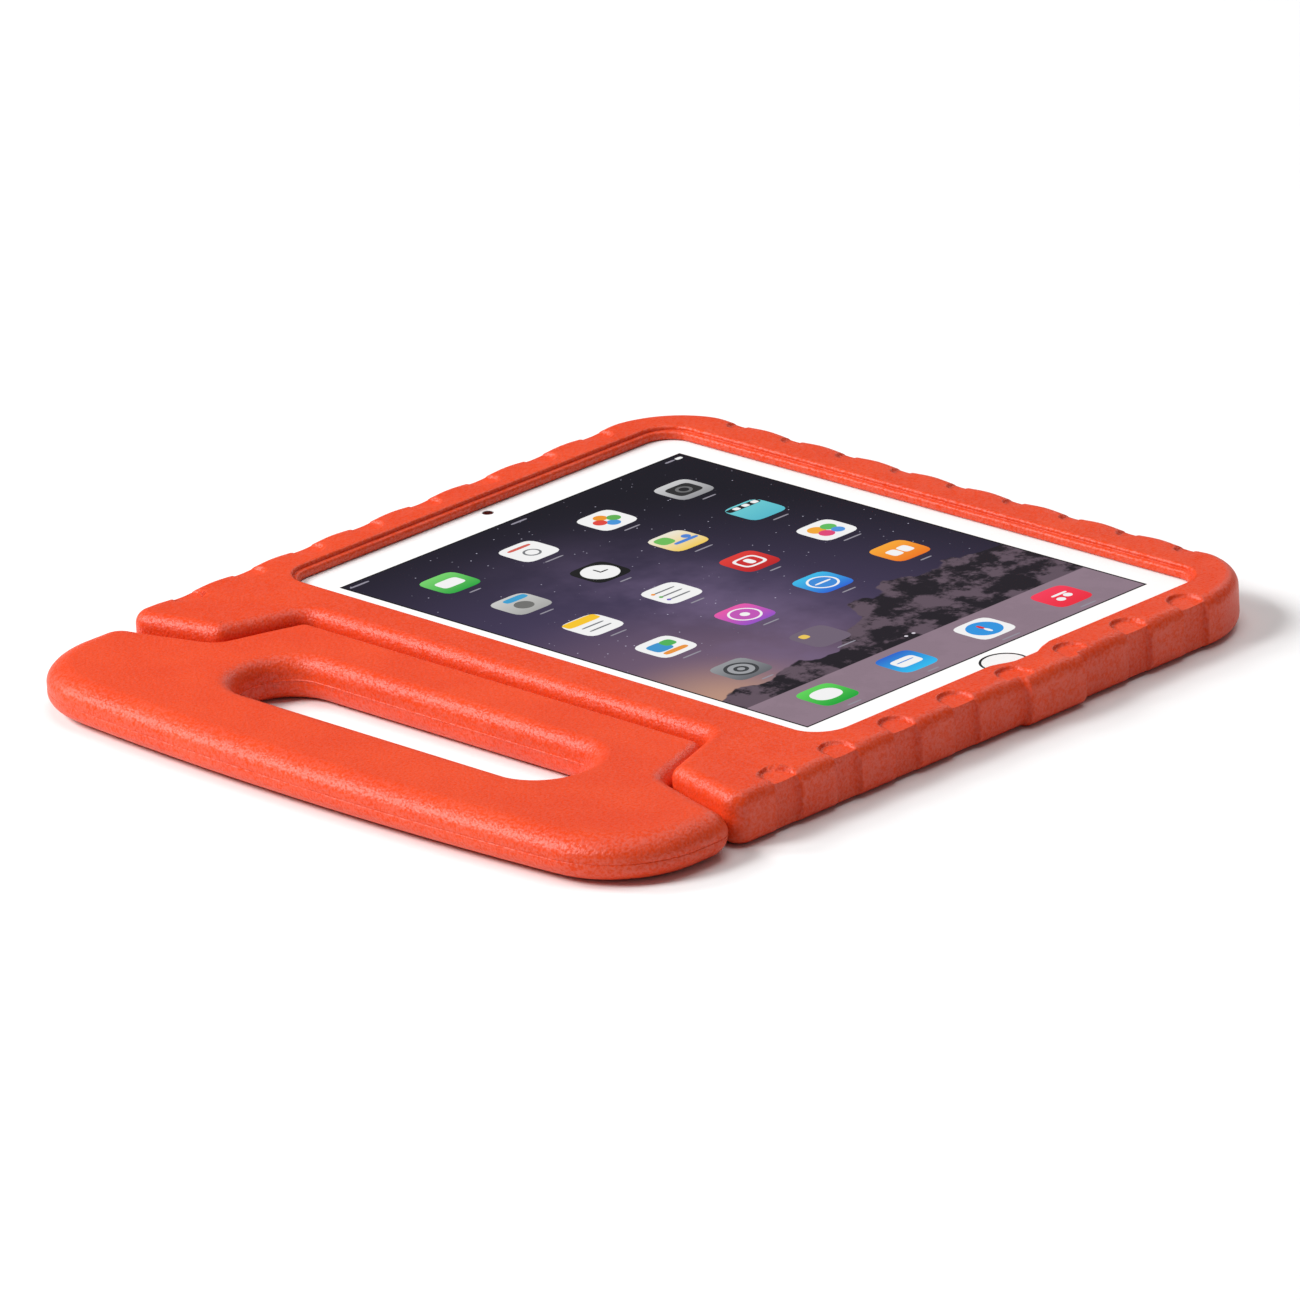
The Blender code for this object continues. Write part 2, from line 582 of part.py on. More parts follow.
def inner_parts(parts, looks):
    """What the tablet holds: display, cells, board and speakers."""
    under = TABLET_TOP - GLASS_THICKNESS - FIT_GAP
    floor = TABLET_BASE + HOUSING_FLOOR + FIT_GAP
    display = slab("tablet_display_panel",
                   [rounded(rectangle(*DISPLAY_HALF, 0.0, TABLET_Y), [1 * MM] * 4, 2)],
                   under - DISPLAY_THICKNESS, under, parts)
    finish(display, looks["display"])
    for side, word in ((-1, "left"), (1, "right")):
        outline = rectangle(*CELL_HALF, CELL_X, TABLET_Y + side * CELL_SPREAD)
        cell = slab(f"tablet_battery_cell_{word}", [rounded(outline, [2 * MM] * 4, 3)], floor,
                    floor + CELL_THICKNESS, parts)
        finish(cell, looks["pouch"])
        middle = TABLET_Y + side * SPEAKER_SPREAD
        speaker = block(f"tablet_speaker_{word}",
                        Vector((SPEAKER_X[0], middle - SPEAKER_HALF, floor)),
                        Vector((SPEAKER_X[1], middle + SPEAKER_HALF,
                                floor + SPEAKER_THICKNESS)), parts)
        finish(speaker, looks["black"])
    outline = rounded(rectangle(*BOARD_HALF, BOARD_X, TABLET_Y), [2 * MM] * 4, 3)
    board = slab("tablet_logic_board", [outline], floor, floor + BOARD_THICKNESS, parts)
    finish(board, looks["board"])


def sockets(parts, cutters, looks):
    """Charge port, a steel shell open at the tablet's edge, and the headphone jack."""
    wall = 1.0 * MM
    low = Vector((PORT_ENDS[0], TABLET_Y - PORT_HALF - wall, CONTROL_Z - 1.6 * MM))
    high = Vector((PORT_ENDS[1], TABLET_Y + PORT_HALF + wall, CONTROL_Z + 0.9 * MM))
    port = block("tablet_charge_port", low, high, parts)
    mouth_wall = Vector((2 * wall, 1.5 * wall, 0.7 * wall))
    mouth_high = high - mouth_wall
    mouth_high.x = PORT_ENDS[1] + PAST
    mouth_high.z = CONTROL_Z + 0.5 * MM
    boolean(port, block("cut_port_mouth", low + mouth_wall, mouth_high, cutters))
    finish(port, looks["metal"])
    floor = TABLET_BASE + HOUSING_FLOOR + FIT_GAP
    under = TABLET_TOP - GLASS_THICKNESS - FIT_GAP
    jack = block("tablet_headphone_jack", Vector((JACK_ENDS[0], JACK_Y - JACK_HALF, floor)),
                 Vector((JACK_ENDS[1], JACK_Y + JACK_HALF, under)), parts)
    boolean(jack, rod("cut_jack_bore", JACK_BORE,
                      Vector((JACK_ENDS[0] - PAST, JACK_Y, CONTROL_Z)),
                      Vector((JACK_ENDS[1] - 2 * MM, JACK_Y, CONTROL_Z)), cutters))
    finish(jack, looks["black"])


def cameras_and_home_button(parts, looks):
    """Rear and front camera, and the home button in the glass."""
    under = TABLET_TOP - GLASS_THICKNESS - FIT_GAP
    floor = TABLET_BASE + HOUSING_FLOOR + FIT_GAP
    top = TABLET_TOP - SUNK
    finish(rod("tablet_rear_camera", REAR_CAMERA_RADIUS,
               Vector((*REAR_CAMERA, TABLET_BASE + SUNK)), Vector((*REAR_CAMERA, under)), parts),
           looks["lens"])
    finish(rod("tablet_front_camera", FRONT_CAMERA_RADIUS,
               Vector((FRONT_CAMERA_X, TABLET_Y, floor)),
               Vector((FRONT_CAMERA_X, TABLET_Y, top)), parts, 16), looks["lens"])
    home = rod("tablet_home_button", HOME_RADIUS,
               Vector((HOME_X, TABLET_Y, top - HOME_THICKNESS)),
               Vector((HOME_X, TABLET_Y, top)), parts, 40)
    finish(home, looks["white"], Vector((HOME_X, TABLET_Y, top)))


def main():
    """Build the case and the tablet that it holds."""
    clear_scene()
    parts = collection("tablet_case")
    cutters = collection("cutters")
    foam = material("eva_foam", FOAM, 0.55)
    nylon = material("nylon", NYLON, 0.45)
    metal = material("aluminium", ALUMINIUM, 0.35, 1.0)
    white = material("white_glass", WHITE, 0.15)
    looks = {"display": material("display", DISPLAY, 0.1),
             "pouch": material("battery_pouch", POUCH, 0.5),
             "board": material("circuit_board", BOARD, 0.5),
             "black": material("black_plastic", NYLON, 0.5),
             "lens": material("lens_glass", BLACK_GLASS, 0.05),
             "metal": metal,
             "white": white}
    case_body(parts, cutters, foam)
    handle(parts, cutters, foam)
    for side, word in ((-1, "left"), (1, "right")):
        pivot_pin(f"pivot_pin_{word}", side, parts, nylon)
        pivot_bush(f"pivot_bush_{word}", side, parts, cutters, nylon)
    rear_housing(parts, cutters, metal)
    front_glass(parts, cutters, white)
    edge_keys(parts, metal)
    inner_parts(parts, looks)
    sockets(parts, cutters, looks)
    cameras_and_home_button(parts, looks)


main()
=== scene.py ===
"""Looks of a moulded foam tablet case: foam body and swing-out handle round a white tablet.

Lengths are in metres, X along the tablet's long side, Y from the handle to the far edge,
Z up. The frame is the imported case; this script adds the fine foam surfaces, the lit
screen with its plain icons, the materials, the light, the floor and the camera.
"""
import math

import bpy
import numpy as np
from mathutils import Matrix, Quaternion, Vector


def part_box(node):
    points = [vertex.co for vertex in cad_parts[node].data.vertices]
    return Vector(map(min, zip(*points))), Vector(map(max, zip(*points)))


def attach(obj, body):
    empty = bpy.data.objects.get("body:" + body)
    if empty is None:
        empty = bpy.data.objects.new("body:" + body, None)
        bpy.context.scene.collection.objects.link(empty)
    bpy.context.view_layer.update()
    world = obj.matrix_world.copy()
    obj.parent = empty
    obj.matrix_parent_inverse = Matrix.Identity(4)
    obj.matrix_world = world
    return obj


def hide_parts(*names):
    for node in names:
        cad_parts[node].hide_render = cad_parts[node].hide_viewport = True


MM = 0.001
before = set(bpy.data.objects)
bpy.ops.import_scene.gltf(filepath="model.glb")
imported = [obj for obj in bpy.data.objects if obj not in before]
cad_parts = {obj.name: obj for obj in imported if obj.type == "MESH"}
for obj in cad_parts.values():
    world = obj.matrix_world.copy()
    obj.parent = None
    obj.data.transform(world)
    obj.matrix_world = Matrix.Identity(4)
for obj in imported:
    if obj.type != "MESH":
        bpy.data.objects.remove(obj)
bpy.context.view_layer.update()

# Boxes of the frame that the looks are fitted to
body_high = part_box("case_body")[1]
handle_low, handle_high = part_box("handle")
tablet_low, tablet_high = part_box("tablet_rear_housing")
glass_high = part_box("tablet_front_glass")[1]
home_low, home_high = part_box("tablet_home_button")
pin_low, pin_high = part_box("pivot_pin_right")
bush_low, bush_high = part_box("pivot_bush_right")
lens_low, lens_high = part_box("tablet_rear_camera")
power_low, power_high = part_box("tablet_power_button")
volume_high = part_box("tablet_volume_down_button")[1]
mute_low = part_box("tablet_mute_switch")[0]
jack_low, jack_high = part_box("tablet_headphone_jack")

TABLET_Y = (tablet_low.y + tablet_high.y) / 2
GLASS_TOP = glass_high.z

# Foam body
FIT_GAP = 0.3 * MM
SEAM_GAP = 1.3 * MM
BODY_HALF = 129.5 * MM
BODY_TOP = body_high.z
FAR_Y = body_high.y
EAR_RADIUS = 6.0 * MM
FAR_CORNER_RADIUS = 30.0 * MM
UNDER_EDGE = 6.6 * MM              # rounding under the handle's tab and of the body round it

# Handle
HANDLE_HALF = handle_high.x
HANDLE_TOP = handle_high.z
OUTER_Y = handle_low.y
BOW_HALF = 50.0 * MM
WING_OUTER_Y = -138.7 * MM
WING_OUTER_RADIUS = 32.0 * MM
WING_INNER_Y = -94.1 * MM
WING_INNER_RADIUS = 9.0 * MM
NECK = (94.6 * MM, -85.7 * MM)
NECK_RADIUS = 6.0 * MM
TAB_TIP_HALF = 84.6 * MM
TAB_TIP_Y = handle_high.y
TAB_TIP_RADIUS = 5.0 * MM
HAND_HOLE_HALF = (69.5 * MM, 14.8 * MM)
HAND_HOLE_Y = -96.5 * MM
HAND_HOLE_RADIUS = 14.0 * MM
HAND_HOLE_RIM = 5.4 * MM           # rounding of the hand hole's rim
DRAFT = 0.5 * MM                   # lean of the outer wall towards its parting line
FLASH = 0.2 * MM                   # height or depth of the parting line
FLASH_WIDTH = 0.2 * MM             # its half width
FLASH_HEIGHTS = (0.0, 0.08 * MM, 0.15 * MM, 0.22 * MM, 0.3 * MM, 0.42 * MM)   # of its rings

# Window of the body and its stepped lip
WINDOW_HALF = (113.3 * MM, 83.3 * MM)
WINDOW_RADIUS = 9.0 * MM
LIP_UNDER = GLASS_TOP + FIT_GAP
LIP_STEP_Z = 15.4 * MM
LIP_STEP_WIDTH = 1.7 * MM
RIM_ROUND = 0.9 * MM               # rounding from the top down to the lip's step
LEDGE_ROUND = 1.0 * MM             # rounding from the step down to the window
LIP_ROUND = 0.3 * MM               # bevel under the lip
LIP_RINGS_Z = (14.0 * MM, 13.5 * MM)
POCKET_HALF = (tablet_high.x + FIT_GAP, (tablet_high.y - tablet_low.y) / 2 + FIT_GAP)
POCKET_RADIUS = 11.3 * MM
POCKET_FLOOR = tablet_low.z - FIT_GAP

# Home scoop and bulge
HOME_X = (home_low.x + home_high.x) / 2
HOME_RING_RADIUS = 7.35 * MM       # inside the hole of the glass
HOME_RING_HALF_WIDTH = 0.4 * MM
HOME_RING_HALF_HEIGHT = 0.06 * MM
SCOOP_RADIUS = 10.0 * MM
SCOOP_DEPTH = 3.2 * MM
BULGE_HALF = 12.2 * MM
BULGE_DEPTH = body_high.x - BODY_HALF

# Grip grooves
GROOVE_HALF = 5.0 * MM
FAR_GROOVE_HALF = 3.5 * MM
GROOVE_DEPTH = 1.6 * MM
TOP_SHARE = 0.7                    # depth on the top and underside, over that on the wall
GROOVE_REACH = 10.0 * MM
FAR_GROOVE_REACH = 7.0 * MM
PILLOW = 0.7 * MM                  # how far the blocks' outer top edge dips towards a groove
PILLOW_REACH = 11.0 * MM
GROOVE_FLANK = 0.7 * MM
GROOVED_BAND = 20.0 * MM           # grooves and dips stay this near to the wall
SIDE_GROOVES_END = FAR_Y - FAR_CORNER_RADIUS + 8 * MM      # the largest y of a side groove
FAR_GROOVES_END = SIDE_GROOVES_END - 20 * MM               # the same along X at the far edge
SIDE_PITCH = 25.3 * MM
FAR_PITCH = 23.7 * MM
HOME_SIDE_STEPS = (-4.5, -3.5, -2.5, -1.5, 1.5, 2.5)
CAMERA_SIDE_STEPS = (-4.5, -3.5, -2.5, -1.5, -0.5, 0.5, 1.5, 2.5)
FAR_SIDE_STEPS = (-4, -3, -2, -1, 0, 1, 2, 3, 4)

# Screen
DISPLAY_HALF = (98.5 * MM, 73.9 * MM)
GLOW = (66.0 * MM, -74.0 * MM)     # brightest point of the sky, from the display's middle
DOCK_X = 73.5 * MM
ICON_ROWS = (-74.5 * MM, -43.6 * MM, -13.0 * MM, 18.0 * MM, 49.5 * MM, 85.2 * MM)
ICON_COLUMN = 34.2 * MM            # from one column to the next
ICON_HALF = 7.6 * MM
LABEL_DROP = 11.0 * MM             # from an icon's middle to its label bar's
LABEL_HALF_HEIGHT = 0.35 * MM
ICON_LIFT = 0.02 * MM              # height over the glass, and depth of an icon's skirt
LAYER_LIFT = 0.012 * MM            # added height of each layer
PICTURE_GLOW = 0.95                # emission of the lit picture and its icons
WHITE = (246, 246, 246)
LABEL_GREY = (150, 146, 158)

# Openings cut in the foam
REAR_CAMERA_HOLE_RADIUS = 8.0 * MM
SLOT_HALF_HEIGHT = 3.0 * MM        # the slots at the volume and power buttons
SLOT_RADIUS = 2.9 * MM
POWER_SLOT_HALF = 11.0 * MM
JACK_HOLE_RADIUS = 4.0 * MM
PIN_SEAT_RADIUS = 2.8 * MM
PIN_FLANGE_LENGTH = 2.8 * MM
CUT_PAST = 5.0 * MM                # how far a cutter passes the outer wall
CUT_OVERLAP = 1.0 * MM             # how far a cutter reaches into the space it opens
CUTTER_STEPS = 48                  # round a round cutter
CUTTER_CORNER_STEPS = 12           # round each corner of a slot's cutter

# Stage: name, place, size and power of each light, all facing the origin
LIGHTS = (("key", (-1.3, -2.2, 2.2), 1.2, 90.0), ("left", (-2.4, -1.1, 1.8), 0.9, 40.0),
          ("top", (0.2, 0.3, 2.8), 2.0, 30.0), ("back", (-0.8, 2.6, 1.6), 1.2, 11.0))
WORLD_STRENGTH = 0.14
FLOOR_Z = -0.4 * MM
CAMERA_LENS = 326.6
CAMERA_AIM = (11.3 * MM, -7.2 * MM, 10.0 * MM)
CAMERA_DISTANCE = 3.55
CAMERA_DEGREES = (45.60, 20.63, -3.29)      # azimuth, elevation and roll


# ---------------------------------------------------------------- outlines

def mirrored(half):
    """Anticlockwise corners from those on the +X side, bottom to top."""
    return np.array(half + [(-x, y) for x, y in reversed(half)])


def both(values):
    """Values for mirrored corners."""
    return list(values) + list(values)[::-1]


def grown(corners, distance):
    """Corners with every side of an anticlockwise polygon moved out by distance."""
    ahead = np.roll(corners, -1, axis=0) - corners
    ahead /= np.linalg.norm(ahead, axis=1)[:, None]
    back = np.roll(ahead, 1, axis=0)
    total = ahead + back
    normal = np.stack([total[:, 1], -total[:, 0]], axis=1)
    return corners + normal * (distance / (1 + (ahead * back).sum(1)))[:, None]


class Loop:
    """Closed anticlockwise outline with a rounded corner at each station.

    Station k is the middle of corner k's arc, the arc covers k - 1/4 to k + 1/4, and the
    straight stretch to the next corner covers k + 1/4 to k + 3/4. at(q) gives points
    and outward normals for an array of stations.
    """

    def __init__(self, corners, radii):
        corners = np.asarray(corners, float)
        radii = np.asarray(radii, float)
        self.count = len(corners)
        back = np.roll(corners, 1, axis=0) - corners
        ahead = np.roll(corners, -1, axis=0) - corners
        back /= np.linalg.norm(back, axis=1)[:, None]
        ahead /= np.linalg.norm(ahead, axis=1)[:, None]
        half = np.arccos(np.clip((back * ahead).sum(1), -1, 1)) / 2
        middle = back + ahead
        middle /= np.linalg.norm(middle, axis=1)[:, None]
        self.turn = np.where(back[:, 0] * ahead[:, 1] - back[:, 1] * ahead[:, 0] < 0, 1.0, -1.0)
        self.sweep = self.turn * (math.pi - 2 * half)
        self.radii = radii
        self.centre = corners + middle * (radii / np.sin(half))[:, None]
        run = (radii / np.tan(half))[:, None]
        self.start = corners + back * run
        self.end = corners + ahead * run

    def at(self, stations):
        """Points and outward normals at the stations."""
        q = np.mod(np.asarray(stations, float) + 0.25, self.count)
        corner = np.floor(q).astype(int) % self.count
        part = q - np.floor(q)
        on_arc = part < 0.5
        arm = self.start[corner] - self.centre[corner]
        angle = self.sweep[corner] * np.clip(part / 0.5, 0, 1)
        cos, sin = np.cos(angle), np.sin(angle)
        turned = np.stack([arm[:, 0] * cos - arm[:, 1] * sin,
                           arm[:, 0] * sin + arm[:, 1] * cos], axis=1)
        arc = self.centre[corner] + turned
        size = np.linalg.norm(turned, axis=1)[:, None]
        arc_normal = self.turn[corner][:, None] * turned / size
        following = (corner + 1) % self.count
        way = (np.clip(part - 0.5, 0, 0.5) / 0.5)[:, None]
        first, last = self.end[corner], self.start[following]
        line = first + (last - first) * way
        along = (last - first) / np.linalg.norm(last - first, axis=1)[:, None]
        line_normal = np.stack([along[:, 1], -along[:, 0]], axis=1)
        pick = on_arc[:, None]
        return np.where(pick, arc, line), np.where(pick, arc_normal, line_normal)

    def stations(self, spacing, arc_steps, fine=()):
        """Stations at about the given spacing, with at least arc_steps on every arc.

        fine maps the number of a corner to the closer spacing of the stretch after it.
        """
        fine = dict(fine)
        found = []
        for corner in range(self.count):
            length = abs(self.sweep[corner]) * self.radii[corner]
            steps = max(arc_steps, round(length / spacing))
            found.append(corner - 0.25 + 0.5 * np.arange(steps) / steps)
            gap = self.start[(corner + 1) % self.count] - self.end[corner]
            steps = max(2, round(np.linalg.norm(gap) / fine.get(corner, spacing)))
            found.append(corner + 0.25 + 0.5 * np.arange(steps) / steps)
        return np.concatenate(found)


def rectangle_loop(half, radius, y):
    """Rounded rectangle about (0, y); its corner 0 is at +X, -Y."""
    corners = [(half[0], y - half[1]), (half[0], y + half[1]),
               (-half[0], y + half[1]), (-half[0], y - half[1])]
    return Loop(corners, [radius] * 4)


def handle_loop():
    """Bowed grip, two wings and the tab."""
    corners = mirrored([(BOW_HALF, OUTER_Y), (HANDLE_HALF, WING_OUTER_Y),
                        (HANDLE_HALF, WING_INNER_Y), NECK, (TAB_TIP_HALF, TAB_TIP_Y)])
    turn = math.atan2(WING_OUTER_Y - OUTER_Y, HANDLE_HALF - BOW_HALF)
    bow_radius = 0.98 * BOW_HALF / math.tan(turn / 2)
    radii = both([bow_radius, WING_OUTER_RADIUS, WING_INNER_RADIUS, NECK_RADIUS,
                  TAB_TIP_RADIUS])
    return Loop(corners, radii), corners


def body_loop():
    """Body outline, whose near edge follows the handle's tab and wings at the seam gap."""
    around = grown(handle_loop()[1], SEAM_GAP)
    wing, neck, tip = around[2], around[3], around[4]
    slope = (wing[1] - neck[1]) / (wing[0] - neck[0])
    ear = (BODY_HALF, neck[1] + slope * (BODY_HALF - neck[0]))
    corners = mirrored([tuple(tip), tuple(neck), ear, (BODY_HALF, FAR_Y)])
    radii = both([TAB_TIP_RADIUS + SEAM_GAP, NECK_RADIUS - SEAM_GAP, EAR_RADIUS,
                  FAR_CORNER_RADIUS])
    return Loop(corners, radii)


# ---------------------------------------------------------------- grids to meshes

def smooth(x):
    """Smooth step of x from 0 to 1."""
    x = np.clip(x, 0, 1)
    return x * x * (3 - 2 * x)


def grid_mesh(name, rings, closed_rings=False, poles=()):
    """Mesh from rings of equal length: quads between neighbours, and fans to the poles.

    Two poles close the first and the last ring, one pole closes the last ring only.
    """
    rings = np.asarray(rings, float)
    count, size = rings.shape[:2]
    index = np.arange(count * size).reshape(count, size)
    low = index if closed_rings else index[:-1]
    high = np.roll(index, -1, axis=0) if closed_rings else index[1:]
    quads = np.stack([low, np.roll(low, -1, axis=1), np.roll(high, -1, axis=1), high], axis=-1)
    faces = quads.reshape(-1, 4).tolist()
    points = rings.reshape(-1, 3)
    if len(poles):
        last = len(points) + len(poles) - 1
        points = np.concatenate([points, np.asarray(poles, float)])
        top = index[-1]
        faces += np.stack([top, np.roll(top, -1), np.full(size, last)], 1).tolist()
    if len(poles) == 2:
        bottom = index[0]
        faces += np.stack([np.roll(bottom, -1), bottom, np.full(size, last - 1)], 1).tolist()
    mesh = bpy.data.meshes.new(name)
    mesh.from_pydata(points.tolist(), [], faces)
    mesh.validate()
    mesh.shade_smooth()
    made = bpy.data.objects.new(name, mesh)
    bpy.context.scene.collection.objects.link(made)
    return made


def cut(target, cutters):
    """Take the cutters away from target, and apply it."""
    for cutter in cutters:
        step = target.modifiers.new(cutter.name, "BOOLEAN")
        step.operation = "DIFFERENCE"
        step.solver = "EXACT"
        step.object = cutter
    graph = bpy.context.evaluated_depsgraph_get()
    mesh = bpy.data.meshes.new_from_object(target.evaluated_get(graph))
    target.modifiers.clear()
    old = target.data
    target.data = mesh
    bpy.data.meshes.remove(old)
    for cutter in cutters:
        bpy.data.objects.remove(cutter, do_unlink=True)
    mesh.name = target.name


def round_cutter(name, radius, start, end):
    """Round bar between two points: rings of a circle about its axis."""
    start, end = np.array(start, float), np.array(end, float)
    axis = (end - start) / np.linalg.norm(end - start)
    side = np.cross(axis, (0.0, 0.0, 1.0) if abs(axis[2]) < 0.9 else (1.0, 0.0, 0.0))
    side /= np.linalg.norm(side)
    other = np.cross(axis, side)
    turn = np.linspace(0, 2 * math.pi, CUTTER_STEPS, endpoint=False)[:, None]
    circle = radius * (side * np.cos(turn) + other * np.sin(turn))
    return grid_mesh(name, [start + circle, end + circle], poles=[start, end])


def pill_cutter(name, half, radius, start, end, axis):
    """Bar of rounded-rectangle section from start towards -X, or towards -Y, to end."""
    loop = rectangle_loop(half, radius, 0.0)
    flat, _ = loop.at(loop.stations(2 * MM, CUTTER_CORNER_STEPS))
    rings = []
    for place in (start, end):
        ring = np.empty((len(flat), 3))
        ring[:, 2] = place[2] + flat[:, 1]
        if axis == "X":
            ring[:, 0] = place[0]
            ring[:, 1] = place[1] + flat[:, 0]
        else:
            ring[:, 0] = place[0] - flat[:, 0]
            ring[:, 1] = place[1]
        rings.append(ring)
    return grid_mesh(name, rings[::-1], poles=[end, start])


def lifted(flat, z):
    """Flat points at height z."""
    return np.column_stack([flat, np.broadcast_to(z, len(flat))])


def blended(first, second, share):
    """Points a share of the way from one ring to the other."""
    return first + (second - first) * share


# ---------------------------------------------------------------- foam body

def groove_share(along, inward, half, reach, centres):
    """1 on the floor of a capsule-shaped groove, 0 outside it, by a smooth step at its flank.

    along runs along the wall, and inward is how far a point lies in from the wall over the
    top or the underside, where the groove ends in a half-round head.
    """
    share = np.zeros_like(along)
    for centre in centres:
        away = np.hypot(along - centre, np.maximum(inward - (reach - half), 0))
        share = np.maximum(share, smooth((half - away) / GROOVE_FLANK + 0.5))
    return share


def window_stations(outer, q):
    """Stations of the window's outline that lie abreast of stations q of the body's outline.

    Along the straight sides the two have the same y, so that rings between them cross the
    top square to the wall.
    """
    side_from, side_to = outer.end[2][1], outer.start[3][1]
    window_from = TABLET_Y - WINDOW_HALF[1] + WINDOW_RADIUS
    window_to = TABLET_Y + WINDOW_HALF[1] - WINDOW_RADIUS
    near = 2.25 + 0.5 * (window_from - side_from) / (side_to - side_from)
    far = 0.25 + 0.5 * (side_to - window_from) / (window_to - window_from)
    half_q = [-0.5, 0, 1, 2, 2.25, near, 2.75, 3, 3.25, 3.5]
    half_p = [-0.5, -0.296, -0.26, 0.0, 0.12, 0.25, far, 1.0, 1.26, 1.5]
    return np.interp(q, half_q + [7 - s for s in half_q[-2::-1]],
                     half_p + [3 - s for s in half_p[-2::-1]])


def foam_body():
    """Rings from the underside's middle over the outer wall, the rim and the lip to the pocket.

    A ring is the outline moved in along its normal. The edge band is a quarter ellipse
    of the local edge radius, the top runs straight to the window's loop, the lip is two
    small rounded steps, and the pocket follows the tablet. Round the handle's tab the
    underside is rounded more, so that the tab swings clear as the handle folds.
    """
    outer = body_loop()
    q = outer.stations(1.1 * MM, 36, {2: 0.42 * MM, 3: 0.42 * MM, 4: 0.42 * MM})
    flat, normal = outer.at(q)
    p = window_stations(outer, q)
    edge_stations = [-0.5, 0.6, 1.0, 1.6, 2, 2.4, 3, 4, 4.6, 5, 5.4, 6, 6.4, 7.5]
    edge_sizes = [4.4, 4.4, 4.3, 4.3, 4.3, 4.2, 4.2, 4.2, 4.2, 4.3, 4.3, 4.3, 4.4, 4.4]
    edge = np.interp(q, edge_stations, edge_sizes) * MM
    relief = np.interp(q, [-0.5, 1.2, 1.8, 5.2, 5.8, 7.5], [1, 1, 0, 0, 1, 1])
    edge_under = np.maximum(edge, UNDER_EDGE * relief)

    window = rectangle_loop(WINDOW_HALF, WINDOW_RADIUS, TABLET_Y)
    sill, sill_normal = window.at(p)
    pocket, _ = rectangle_loop(POCKET_HALF, POCKET_RADIUS, TABLET_Y).at(p)
    away = sill[:, 1] - TABLET_Y
    scoop = SCOOP_DEPTH * smooth(1.4 - np.abs(away) / SCOOP_RADIUS) * (sill[:, 0] > HOME_X)
    middle = np.array([0.0, TABLET_Y])

    rings = []

    def ring(points, z):
        rings.append(lifted(points, z))

    bottom = flat - normal * edge_under[:, None]
    for share in (0.02, 0.35, 0.7, 1.0):
        ring(blended(middle, sill, share), 0.0)
    for share in np.linspace(0, 1, 22)[1:-1]:
        ring(blended(sill, bottom, share), 0.0)
    for angle in np.linspace(-90, 0, 15):
        turn = math.radians(angle)
        ring(flat - normal * (edge_under * (1 - math.cos(turn)))[:, None],
             edge_under * (1 + math.sin(turn)))
    for share in np.linspace(0, 1, 10)[1:-1]:
        ring(flat, edge_under + (BODY_TOP - edge - edge_under) * share)
    for angle in np.linspace(0, 90, 17):
        turn = math.radians(angle)
        ring(flat - normal * (edge * (1 - math.cos(turn)))[:, None],
             BODY_TOP - edge * (1 - math.sin(turn)))
    lip_out = LIP_STEP_WIDTH + RIM_ROUND
    brink = sill + sill_normal * (lip_out + scoop)[:, None]
    top = flat - normal * edge[:, None]
    for share in np.linspace(0, 1, 34)[1:-1]:
        ring(blended(top, brink, share), BODY_TOP)
    outside = len(rings)
    for angle in np.linspace(90, 180, 7):
        turn = math.radians(angle)
        out = lip_out + RIM_ROUND * math.cos(turn) + scoop
        ring(sill + sill_normal * out[:, None], BODY_TOP - RIM_ROUND * (1 - math.sin(turn)))
    for share in (0.5, 1.0):
        out = LIP_STEP_WIDTH + scoop
        ring(sill + sill_normal * out[:, None],
             BODY_TOP - RIM_ROUND - (BODY_TOP - RIM_ROUND - LIP_STEP_Z) * share)
    for share in (0.35, 1.0):
        out = LIP_STEP_WIDTH - (LIP_STEP_WIDTH - LEDGE_ROUND) * share + scoop
        ring(sill + sill_normal * out[:, None], LIP_STEP_Z)
    for angle in np.linspace(90, 180, 7)[1:]:
        turn = math.radians(angle)
        out = LEDGE_ROUND * (1 + math.cos(turn)) + scoop
        ring(sill + sill_normal * out[:, None],
             LIP_STEP_Z - LEDGE_ROUND * (1 - math.sin(turn)))
    for z in (*LIP_RINGS_Z, LIP_UNDER + LIP_ROUND):
        ring(sill + sill_normal * scoop[:, None], z)
    ring(sill + sill_normal * (LIP_ROUND + scoop)[:, None], LIP_UNDER)
    ring(blended(sill + sill_normal * scoop[:, None], pocket, 0.5), LIP_UNDER)
    ring(pocket, LIP_UNDER)
    ring(pocket, (LIP_UNDER + POCKET_FLOOR) / 2)
    ring(pocket, POCKET_FLOOR)
    for share in (0.98, 0.66, 0.33, 0.02):
        ring(blended(middle, pocket, share), POCKET_FLOOR)

    rings = np.array(rings)
    shape_body(rings[:outside])
    body = grid_mesh("case_body_foam", rings,
                     poles=[(0.0, TABLET_Y, 0.0), (0.0, TABLET_Y, POCKET_FLOOR)])
    cut(body, body_cutters())
    return body


